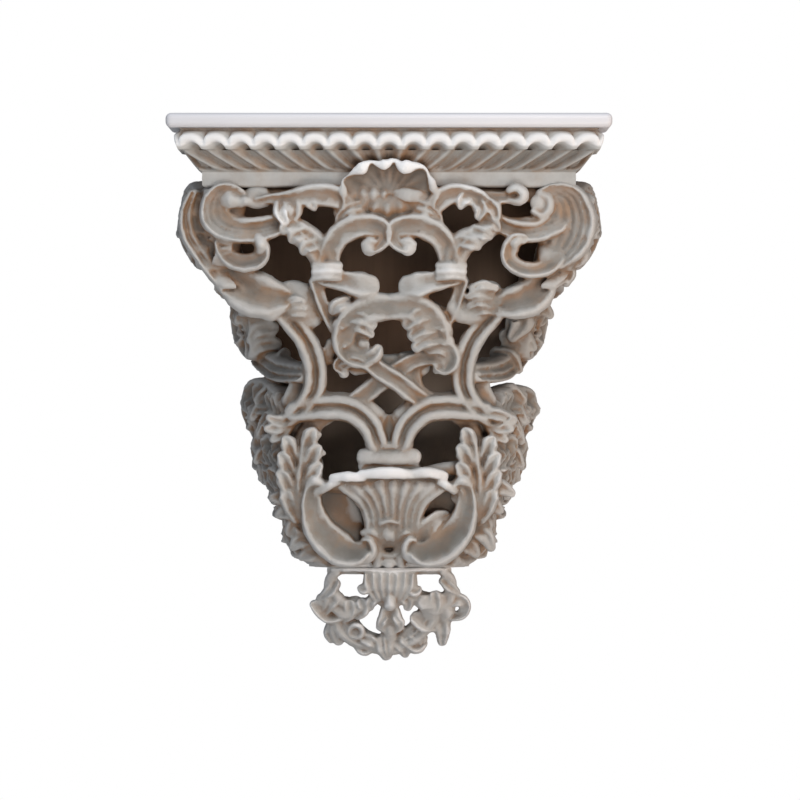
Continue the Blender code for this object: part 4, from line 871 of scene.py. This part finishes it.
def carve(name, strokesOf, settings, seam, kept):
    # kept is 1 where the piece lies above its seam, -1 where it hangs below
    carving = {"points": [], "faces": [], "count": 0}
    strokesOf(carving)
    mesh = bpy.data.meshes.new(name)
    mesh.from_pydata((np.concatenate(carving["points"]) * mm).tolist(), [], carving["faces"])
    piece = bpy.data.objects.new(name, mesh)
    bpy.context.scene.collection.objects.link(piece)
    applyModifier(piece, "REMESH", mode="VOXEL", voxel_size=settings["voxel"] * mm, adaptivity=0.0)
    applyModifier(piece, "SMOOTH", factor=0.5, iterations=settings["smoothing"])
    marks = bpy.data.textures.new(name + " chisel", "CLOUDS")
    marks.noise_scale = chisel["grain"]
    applyModifier(piece, "DISPLACE", texture=marks, texture_coords="GLOBAL", strength=chisel["depth"], mid_level=0.5)
    selectOnly(piece)
    bpy.ops.object.mode_set(mode="EDIT")
    for spot, normal in (((0, 0, 0), (0, 1, 0)), ((0, 0, seam * mm), (0, 0, -kept))):
        bpy.ops.mesh.select_all(action="SELECT")
        bpy.ops.mesh.bisect(plane_co=spot, plane_no=normal, use_fill=True, clear_outer=True)
    bpy.ops.mesh.select_all(action="SELECT")
    bpy.ops.mesh.quads_convert_to_tris()
    bpy.ops.object.mode_set(mode="OBJECT")
    share = min(1.0, settings["triangles"] / len(piece.data.polygons))
    applyModifier(piece, "DECIMATE", ratio=share)
    selectOnly(piece)
    bpy.ops.object.shade_smooth()
    markRelief(piece, settings["toneShift"], settings["chipsAndHighlights"])
    print(name, len(piece.data.polygons), "triangles")
    return piece


def bodyStrokes(carving):
    rails(carving)
    shellCrest(carving)
    capital(carving)
    urn(carving)
    for side in (-1, 1):
        for group in (cornerScroll, crestLeaves, heart, leafScroll, bellyLeaves, ogeeStrap, arch, crossing, urnScroll,
                      cornerLeaf, flankScrolls):
            group(carving, side)


# Materials

def startMaterial(name):
    # A new material, its tree, its shader and the place on the piece that its patterns follow
    material = bpy.data.materials.new(name)
    material.use_nodes = True
    tree = material.node_tree
    place = addNode(tree, "ShaderNodeTexCoord").outputs["Object"]
    return material, tree, tree.nodes["Principled BSDF"], place


def finishSurface(tree, shader, colour, height, strength, depth):
    # Its colour, and its bump: how strong, and how deep in metres
    tree.links.new(colour, shader.inputs["Base Color"])
    bump = addNode(tree, "ShaderNodeBump", {"Strength": strength, "Distance": depth}, {"Height": height})
    tree.links.new(bump.outputs[0], shader.inputs["Normal"])


# A noise's Scale counts its patches in a metre
agedAndLit = {
    "paint": "#8b8984", "paler": "#9f9e9a", "palerFrom": (0.35, 0.65),
    "mottle": {"Scale": 14.0, "Detail": 6.0, "Roughness": 0.6},         # patches about 70 mm across
    "patchy": {"Scale": 42.0, "Detail": 5.0, "Roughness": 0.65},        # 24 mm
    "patches": {"Scale": 26.0, "Detail": 3.0, "Roughness": 0.55},       # 38 mm
    "grain": {"Scale": 620.0, "Detail": 3.0},       # chalky grain, drawn 1.6 mm wide so that it shows
    "shadeWithin": 0.04, "creaseShadeWithin": 0.008,      # how near another surface must be for painted shade on a spot, in metres
    # the first below: how much facing up lessens the wax and painted shade
    "upLightens": 0.3, "rough": (0.5, 0.8), "ior": 1.45, "bump": (0.25, 0.0006),
    # coats over it, in turn: colour, how much noise shifts it, where it starts, where it is full, how much it hides
    "tan": ("#a5886c", 0.0, 0.53, 0.66, 0.6),       # bare wood, in patches
    "dustAndTopLight": ("#a9abaa", 0.6, 0.5, 1.1, 0.7),        # pale dust and painted top light, on what faces up
    "waxAndShade": ("#98704c", 1.0, 1.4, 0.75, 0.9),        # brown wax and painted shade, in the hollows and under what faces down
    "dirtAndShade": ("#686661", 2.0, 0.4, -3.0, 0.85),      # grey dirt and painted shade, in the hollows
    "lines": ("#493b30", 0.0, 0.62, 0.22, 0.75),    # dark painted shade, in the tight corners
    "wearAndPaintedLight": ("#c5c5c3", 3.0, 2.0, 4.6, 0.85),     # pale wear and painted highlight, on what stands out
    "white": ("#eff0f1", 2.4, 5.0, 7.2, 0.95),      # white chips and painted highlights on the highest tops
}


def carvedPaint():
    # Old casein paint on carved limewood: chalky, rubbed white with painted highlights on the tops, pale dust with
    # painted top light on what faces up, grey dirt and brown wax with painted shade in the hollows, dark painted shade
    # in the tight corners
    material, tree, shader, place = startMaterial("aged casein paint on limewood")
    mottle, patchy, patches, grain = [addNode(tree, "ShaderNodeTexNoise", agedAndLit[name], {"Vector": place}).outputs["Fac"]
                                      for name in ("mottle", "patchy", "patches", "grain")]
    low, high = agedAndLit["palerFrom"]
    tone = addNode(tree, "ShaderNodeMapRange", {"From Min": low, "From Max": high}, {"Value": mottle})
    paint = addNode(tree, "ShaderNodeMix", {"data_type": "RGBA", 6: linear(agedAndLit["paint"]), 7: linear(agedAndLit["paler"])},
                    {0: tone.outputs[0]})
    relief, upward = [addNode(tree, "ShaderNodeAttribute", {"attribute_name": name}).outputs["Fac"]
                      for name in ("relief", "upward")]
    wide, close = [addNode(tree, "ShaderNodeAmbientOcclusion", {"samples": 6, "Distance": agedAndLit[name]}).outputs["AO"]
                   for name in ("shadeWithin", "creaseShadeWithin")]
    # painted shade: how open a spot is to light, from its ambient occlusion and how much it faces up; the less open,
    # the more brown wax and painted shade
    openToLight = addNode(tree, "ShaderNodeMath", {"operation": "MULTIPLY_ADD", 1: agedAndLit["upLightens"]},
                        {0: upward, 2: wide}).outputs[0]
    follows = {"tan": (patches, None), "dustAndTopLight": (upward, patchy), "waxAndShade": (openToLight, patchy), "dirtAndShade": (relief, mottle),
               "lines": (close, None), "wearAndPaintedLight": (relief, patchy), "white": (relief, patchy)}
    colour = paint.outputs[2]
    for name, (value, noise) in follows.items():
        tint, shift, start, full, most = agedAndLit[name]
        if noise is not None:
            value = addNode(tree, "ShaderNodeMath", {"operation": "MULTIPLY_ADD", 1: shift},
                            {0: noise, 2: value}).outputs[0]
        share = addNode(tree, "ShaderNodeMapRange", {"From Min": start, "From Max": full, "To Max": most},
                        {"Value": value})
        coat = addNode(tree, "ShaderNodeMix", {"data_type": "RGBA", 7: linear(tint)}, {0: share.outputs[0], 6: colour})
        colour = coat.outputs[2]
    smooth, matt = agedAndLit["rough"]
    rough = addNode(tree, "ShaderNodeMapRange", {"To Min": smooth, "To Max": matt}, {"Value": patchy})
    tree.links.new(rough.outputs[0], shader.inputs["Roughness"])
    shader.inputs["IOR"].default_value = agedAndLit["ior"]
    finishSurface(tree, shader, colour, grain, *agedAndLit["bump"])
    return material


satin = {
    "paint": "#dadade", "paler": "#e4e4e8", "rough": 0.42, "bump": (0.12, 0.0004),
    "brush": (6.0, 400.0, 400.0),       # brush lines 2.5 mm apart, along the board
    "lines": {"Scale": 1.0, "Detail": 3.0}, "mottle": {"Scale": 9.0, "Detail": 4.0},
}


def boardPaint():
    # Brushed satin paint on a plain board: cool white, faint brush lines along its length
    material, tree, shader, place = startMaterial("brushed satin paint")
    stretched = addNode(tree, "ShaderNodeMapping", {"Scale": satin["brush"]}, {"Vector": place})
    lines = addNode(tree, "ShaderNodeTexNoise", satin["lines"], {"Vector": stretched.outputs[0]})
    mottle = addNode(tree, "ShaderNodeTexNoise", satin["mottle"], {"Vector": place})
    paint = addNode(tree, "ShaderNodeMix", {"data_type": "RGBA", 6: linear(satin["paint"]), 7: linear(satin["paler"])},
                    {0: mottle.outputs["Fac"]})
    shader.inputs["Roughness"].default_value = satin["rough"]
    finishSurface(tree, shader, paint.outputs[2], lines.outputs["Fac"], *satin["bump"])
    return material


stained = {
    "dark": "#7a6453", "pale": "#8d7563", "paintedLight": "#e6d6c6", "rough": 0.85, "bump": (0.3, 0.0005),
    "stretch": (160.0, 160.0, 9.0),     # grain 6 mm wide, upright
    "grain": {"Scale": 1.0, "Detail": 6.0, "Distortion": 0.6},
    "slant": -0.45, "paintedLightFrom": 0.03, "paintedLightAt": -0.10,      # painted light: the stain is pale below this slanting height, which rises to the right, in metres
}


def backStain():
    # Pine board stained dark brown: upright grain a few millimetres wide, matt, with painted light that makes it pale
    # over its lower part, reaching higher on the right
    material, tree, shader, place = startMaterial("stained pine")
    stretched = addNode(tree, "ShaderNodeMapping", {"Scale": stained["stretch"]}, {"Vector": place})
    grain = addNode(tree, "ShaderNodeTexNoise", stained["grain"], {"Vector": stretched.outputs[0]}).outputs["Fac"]
    wood = addNode(tree, "ShaderNodeMix", {"data_type": "RGBA", 6: linear(stained["dark"]),
                                           7: linear(stained["pale"])}, {0: grain})
    split = addNode(tree, "ShaderNodeSeparateXYZ", None, {0: place}).outputs
    # painted light from the lower right: pale low on the board, and higher up towards the right
    slope = addNode(tree, "ShaderNodeMath", {"operation": "MULTIPLY_ADD", 1: stained["slant"]},
                    {0: split["X"], 2: split["Z"]})
    paintedLight = addNode(tree, "ShaderNodeMapRange", {"From Min": stained["paintedLightFrom"], "From Max": stained["paintedLightAt"]},
                   {"Value": slope.outputs[0]})
    toneShift = addNode(tree, "ShaderNodeMix", {"data_type": "RGBA", 7: linear(stained["paintedLight"])},
                   {0: paintedLight.outputs[0], 6: wood.outputs[2]})
    shader.inputs["Roughness"].default_value = stained["rough"]
    finishSurface(tree, shader, toneShift.outputs[2], grain, *stained["bump"])
    return material


paintOnCarving = carvedPaint()
paintOnBoard = boardPaint()
stain = backStain()
print("materials done")

body = carve("carvedBody", bodyStrokes, carvedBody, carvedBody["seam"] + carvedBody["seamGap"], 1)
finishPiece(body, paintOnCarving, "painted_carving", "carved_body")
drop = carve("pendantDrop", pendantStrokes, pendant, carvedBody["seam"] - carvedBody["seamGap"], -1)
finishPiece(drop, paintOnCarving, "painted_carving", "pendant")
print("carving done")

# Cornice: a hollow moulding on three sides; each leaf has a rolled crown, with a wide slanting flute under it. The
# crowns and ridges are painted paler as painted highlights, the flutes, bowls, nicks and eyes darker as painted shade

cornice = {
    "foot": 203.15, "half": 186.4, "face": 221.0, "wall": 20.0, "pitch": 24.6, "crownReach": 24.0,
    "samples": 18, "rows": 76,      # columns to a leaf, rows up the moulding
    "drift": 0.8, "driftPower": 1.25,       # how far a flute leans by its foot, in leaves
    "fillet": 15.5, "filletPaler": 2.4,      # the plain fillet's height, and how much paler it is painted
    "fluteFrom": 16.0, "fluteFull": 5.0, "leanFrom": 18.0, "head": 37.0,    # heights of a flute's foot and round head
    "top": 58.5, "topFade": 4.0,        # height where the crowns end, and over how much they fade
    "crownAt": 12.4, "eyeAt": 1.5, "nickAt": 48.0,      # crowns and eyes round a flute's head, nicks by their height
    "crownHighlight": 5.4, "highlightFade": 6.0,      # how much paler a crown is painted, as a painted highlight, and over what height that starts
    "straight": 0.8,        # how soon the flutes lean, away from the middle of the front
    "dustAndTopLight": 0.4,            # how far the moulding counts as facing up, for the dust and painted top light and for the wax and painted shade
    # each cut: how wide, how sharp its edge is, how far it goes in or out, how much paler it is painted as a painted
    # highlight, negative where it is painted darker as painted shade
    "flute": (0.28, 5, -6.5, -1.2), "ridge": (0.13, 3, 1.8, 1.8), "rib": (0.06, 2, 1.0, 0.0),
    "bowl": (6.4, 6, -6.5, -1.2), "crown": (5.6, 4, 6.2, 1.8), "nick": (0.10, 3, -2.0, -1.2),
    "eye": (3.2, 4, -2.4, -2.8),
    "nickHigh": (6.5, 4),
    # height above the foot, reach beyond the fillet
    "profile": (
        (0.0, -4.0), (0.8, -1.4), (2.2, 0.0), (9.0, 0.4), (14.6, 0.0), (16.2, 1.0), (18.0, 3.2), (22.0, 6.6),
        (27.0, 10.6), (32.0, 14.6), (37.0, 18.0), (41.0, 20.2), (45.0, 21.4), (50.0, 21.8), (54.0, 21.8),
        (57.0, 21.6), (58.0, 21.8), (58.6, 22.8), (59.0, 23.0)),
}


def leafRelief(along, lean, rise):
    # along counts leaves at the crowns, lean is the way the flutes slope, rise is the height above the cornice's foot
    def near(value, centre):
        return (value - centre + 0.5) % 1.0 - 0.5

    def bite(cut, distance):
        # How much of a cut is felt this far from its middle
        width, power = cornice[cut][:2]
        return 1.0 / (1.0 + abs(distance / width) ** power)

    if rise < cornice["fillet"]:
        return 0.0, cornice["filletPaler"]
    head = cornice["head"]
    drop = max(0.0, (head - rise) / (head - cornice["leanFrom"]))
    sloped = near(along - lean * cornice["drift"] * drop ** cornice["driftPower"], 0.0)
    if rise < head:
        deep = min(1.0, max(0.0, (rise - cornice["fluteFrom"]) / cornice["fluteFull"]))
        cuts = {"flute": deep * bite("flute", sloped), "ridge": deep * bite("ridge", near(sloped, 0.5)),
                "rib": deep * bite("rib", sloped)}
        more = 0.0
    else:
        reach = math.hypot(near(along, 0.0) * cornice["pitch"], rise - head)
        fade = min(1.0, max(0.0, (cornice["top"] - rise) / cornice["topFade"]))
        cuts = {"bowl": bite("bowl", reach), "crown": bite("crown", reach - cornice["crownAt"]) * fade,
                "nick": bite("nick", near(along, 0.5)) * bite("nickHigh", rise - cornice["nickAt"]),
                "eye": bite("eye", reach - cornice["eyeAt"])}
        more = cornice["crownHighlight"] * min(1.0, (rise - head) / cornice["highlightFade"]) * cuts["crown"]
    carved = sum(share * cornice[name][2] for name, share in cuts.items())
    # the second value is the paint's tone: painted highlights on the crowns and ridges, painted shade in the flutes,
    # bowls, nicks and eyes
    wearAndPaintedLight = sum(share * cornice[name][3] for name, share in cuts.items())
    return carved, wearAndPaintedLight + more


def corniceMesh(settings):
    half, face, samples = settings["half"], settings["face"], settings["samples"]
    frontLeaves = (half + settings["crownReach"]) / settings["pitch"]     # from the middle to the corner
    sideLeaves = round((face + settings["crownReach"]) / settings["pitch"])
    frontCount, sideCount = round(frontLeaves * samples), round(sideLeaves * samples)
    columns = [(-1.0, i / sideCount, -frontLeaves - sideLeaves * (1 - i / sideCount)) for i in range(sideCount)]
    columns += [(i / frontCount, 1.0, frontLeaves * i / frontCount) for i in range(-frontCount, frontCount + 1)]
    columns += [(1.0, i / sideCount, frontLeaves + sideLeaves * (1 - i / sideCount))
                for i in range(sideCount - 1, -1, -1)]
    marks = [p[0] for p in settings["profile"]]
    rises = np.linspace(marks[0], marks[-1], settings["rows"])
    reaches = np.interp(rises, marks, [p[1] for p in settings["profile"]])
    verts, faces, tones = [], [], []
    for across, deep, along in columns:
        lean = max(-1.0, min(1.0, -along * settings["straight"]))
        for rise, reach in zip(rises, reaches):
            carved, toneShift = leafRelief(along, lean, rise)
            out = reach + carved
            tones.append(toneShift)
            verts.append((across * (half + out), -deep * (face + out), settings["foot"] + rise))
        for rise in (rises[-1], rises[0]):      # the back of the moulding
            wall = settings["wall"]
            verts.append((across * (half - wall), -deep * (face - wall), settings["foot"] + rise))
            tones.append(0.0)
    ring = settings["rows"] + 2
    for i in range(len(columns) - 1):
        for j in range(ring):
            a, b = i * ring + j, i * ring + (j + 1) % ring
            faces.append((a, b, b + ring, a + ring))
    faces.append(tuple(range(ring - 1, -1, -1)))
    last = (len(columns) - 1) * ring
    faces.append(tuple(range(last, last + ring)))
    mesh = bpy.data.meshes.new("leafCornice")
    mesh.from_pydata((np.array(verts) * mm).tolist(), [], faces)
    for name, values in (("relief", tones), ("upward", [settings["dustAndTopLight"]] * len(tones))):
        mesh.attributes.new(name, "FLOAT", "POINT").data.foreach_set("value", np.array(values, dtype=np.float32))
    return mesh


moulding = bpy.data.objects.new("leafCornice", corniceMesh(cornice))
bpy.context.scene.collection.objects.link(moulding)
selectOnly(moulding)
bpy.ops.object.mode_set(mode="EDIT")
bpy.ops.mesh.select_all(action="SELECT")
bpy.ops.mesh.normals_make_consistent(inside=False)
bpy.ops.object.mode_set(mode="OBJECT")
bpy.ops.object.shade_smooth_by_angle(angle=math.radians(50))
finishPiece(moulding, paintOnCarving, "painted_carving", "cornice")
print("cornice done", len(moulding.data.polygons))

# Top board: a plain painted board with eased edges

topBoard = {"width": 445.0, "depth": 254.0, "thick": 14.5, "top": 277.0, "edge": 5.5, "edgeSteps": 5}
bpy.ops.object.select_all(action="DESELECT")
bpy.ops.mesh.primitive_cube_add(
    size=1.0, location=(0, -topBoard["depth"] / 2 * mm, (topBoard["top"] - topBoard["thick"] / 2) * mm),
    scale=(topBoard["width"] * mm, topBoard["depth"] * mm, topBoard["thick"] * mm))
board = bpy.context.object
board.name = "plainBoard"
bpy.ops.object.transform_apply(location=True, rotation=True, scale=True)
bpy.ops.object.mode_set(mode="EDIT")
bpy.ops.mesh.select_all(action="DESELECT")
bpy.ops.object.mode_set(mode="OBJECT")
for edge in board.data.edges:       # all but the edges along the wall
    edge.select = min(board.data.vertices[v].co.y for v in edge.vertices) < -0.5 * topBoard["depth"] * mm
bpy.ops.object.mode_set(mode="EDIT")
bpy.ops.mesh.select_mode(type="EDGE")
bpy.ops.mesh.bevel(offset=topBoard["edge"] * mm, segments=topBoard["edgeSteps"], profile=0.5)
bpy.ops.object.mode_set(mode="OBJECT")
bpy.ops.object.shade_smooth_by_angle(angle=math.radians(30))
finishPiece(board, paintOnBoard, "painted_board", "top_board")

# Back board: a sawn board cut to the outline of the body

backBoard = {
    "thick": 12.0, "edge": 1.2,
    "outline": ((262, 166), (190, 164), (160, 168), (120, 150), (90, 126), (60, 120), (28, 108), (8, 94), (-14, 104),
                (-60, 104), (-100, 88), (-130, 76), (-165, 60)),
}
bpy.ops.object.select_all(action="DESELECT")
shape = [(-half * mm, 0, z * mm) for z, half in backBoard["outline"]]
shape += [(half * mm, 0, z * mm) for z, half in reversed(backBoard["outline"])]
panelMesh = bpy.data.meshes.new("backPanel")
panelMesh.from_pydata(shape, [], [tuple(range(len(shape)))])
panel = bpy.data.objects.new("backPanel", panelMesh)
bpy.context.scene.collection.objects.link(panel)
selectOnly(panel)
bpy.ops.object.mode_set(mode="EDIT")
bpy.ops.mesh.select_all(action="SELECT")
bpy.ops.mesh.extrude_region_move(TRANSFORM_OT_translate={"value": (0, -backBoard["thick"] * mm, 0)})
bpy.ops.mesh.select_all(action="SELECT")
bpy.ops.mesh.normals_make_consistent(inside=False)
bpy.ops.object.mode_set(mode="OBJECT")
applyModifier(panel, "BEVEL", width=backBoard["edge"] * mm, segments=2, limit_method="ANGLE",
              angle_limit=math.radians(50))
bpy.ops.object.shade_smooth_by_angle(angle=math.radians(30))
finishPiece(panel, stain, "stained_back", "back_board")
print("boards done")

# Floor, light and camera

studio = {
    "cameraDistance": 12.0, "view": 0.8, "aim": (0.011, -0.20, -0.009), "lampsAim": (0, -0.12, 0.0),
    "glow": 0.2, "glowColour": "#dfe3ea",
    "floorDrop": 0.62, "floorSize": 2.4, "floorColour": "#e4e2df", "floorRough": 0.9,
    "key": {"at": (0.4, -2.4, 1.6), "size": 0.7, "power": 26.5, "colour": "#ffffff"},
    "top": {"at": (0.1, -1.1, 2.5), "size": 0.5, "power": 18.0, "colour": "#f4f7ff"},
    "right": {"at": (1.6, -1.0, -0.3), "size": 1.0, "power": 10.5, "colour": "#ffdfc4"},
    "left": {"at": (-1.8, -0.9, 0.3), "size": 1.2, "power": 4.0, "colour": "#eef4ff"},
    "low": {"at": (0.35, -2.3, -0.9), "size": 0.8, "power": 18.5, "colour": "#fffaf5"},
}
bpy.ops.object.select_all(action="DESELECT")
bpy.ops.mesh.primitive_plane_add(size=studio["floorSize"], location=(0, -0.1, -studio["floorDrop"]))
floor = bpy.context.object
floor.name = "floor"
pale = bpy.data.materials.new("pale studio floor")
pale.use_nodes = True
paleShader = pale.node_tree.nodes["Principled BSDF"]
paleShader.inputs["Base Color"].default_value = linear(studio["floorColour"])
paleShader.inputs["Roughness"].default_value = studio["floorRough"]
floor.data.materials.append(pale)


def aimAt(thing, target):
    thing.rotation_euler = (Vector(target) - thing.location).to_track_quat("-Z", "Y").to_euler()


for name in ("key", "top", "right", "left", "low"):
    lamp = bpy.data.lights.new(name, "AREA")
    lamp.size = studio[name]["size"]
    lamp.energy = studio[name]["power"]
    lamp.color = linear(studio[name]["colour"])[:3]
    stand = bpy.data.objects.new(name + "Light", lamp)
    stand.location = studio[name]["at"]
    bpy.context.scene.collection.objects.link(stand)
    aimAt(stand, studio["lampsAim"])

world = bpy.data.worlds.new("white room")
world.use_nodes = True
room = world.node_tree
seen = addNode(room, "ShaderNodeBackground", {"Color": (1, 1, 1, 1), "Strength": 1.0})
glow = room.nodes["Background"]
glow.inputs["Color"].default_value = linear(studio["glowColour"])
glow.inputs["Strength"].default_value = studio["glow"]
ray = addNode(room, "ShaderNodeLightPath")
mix = addNode(room, "ShaderNodeMixShader", None,
              {0: ray.outputs["Is Camera Ray"], 1: glow.outputs[0], 2: seen.outputs[0]})
room.links.new(mix.outputs[0], room.nodes["World Output"].inputs["Surface"])
bpy.context.scene.world = world
bpy.context.scene.view_settings.view_transform = "Standard"

lens = bpy.data.cameras.new("camera")
lens.sensor_width = 36.0
lens.lens = lens.sensor_width * studio["cameraDistance"] / studio["view"]
camera = bpy.data.objects.new("camera", lens)
camera.location = Vector(studio["aim"]) + Vector((0, -studio["cameraDistance"], 0))
bpy.context.scene.collection.objects.link(camera)
aimAt(camera, studio["aim"])
bpy.context.scene.camera = camera
print("studio done")
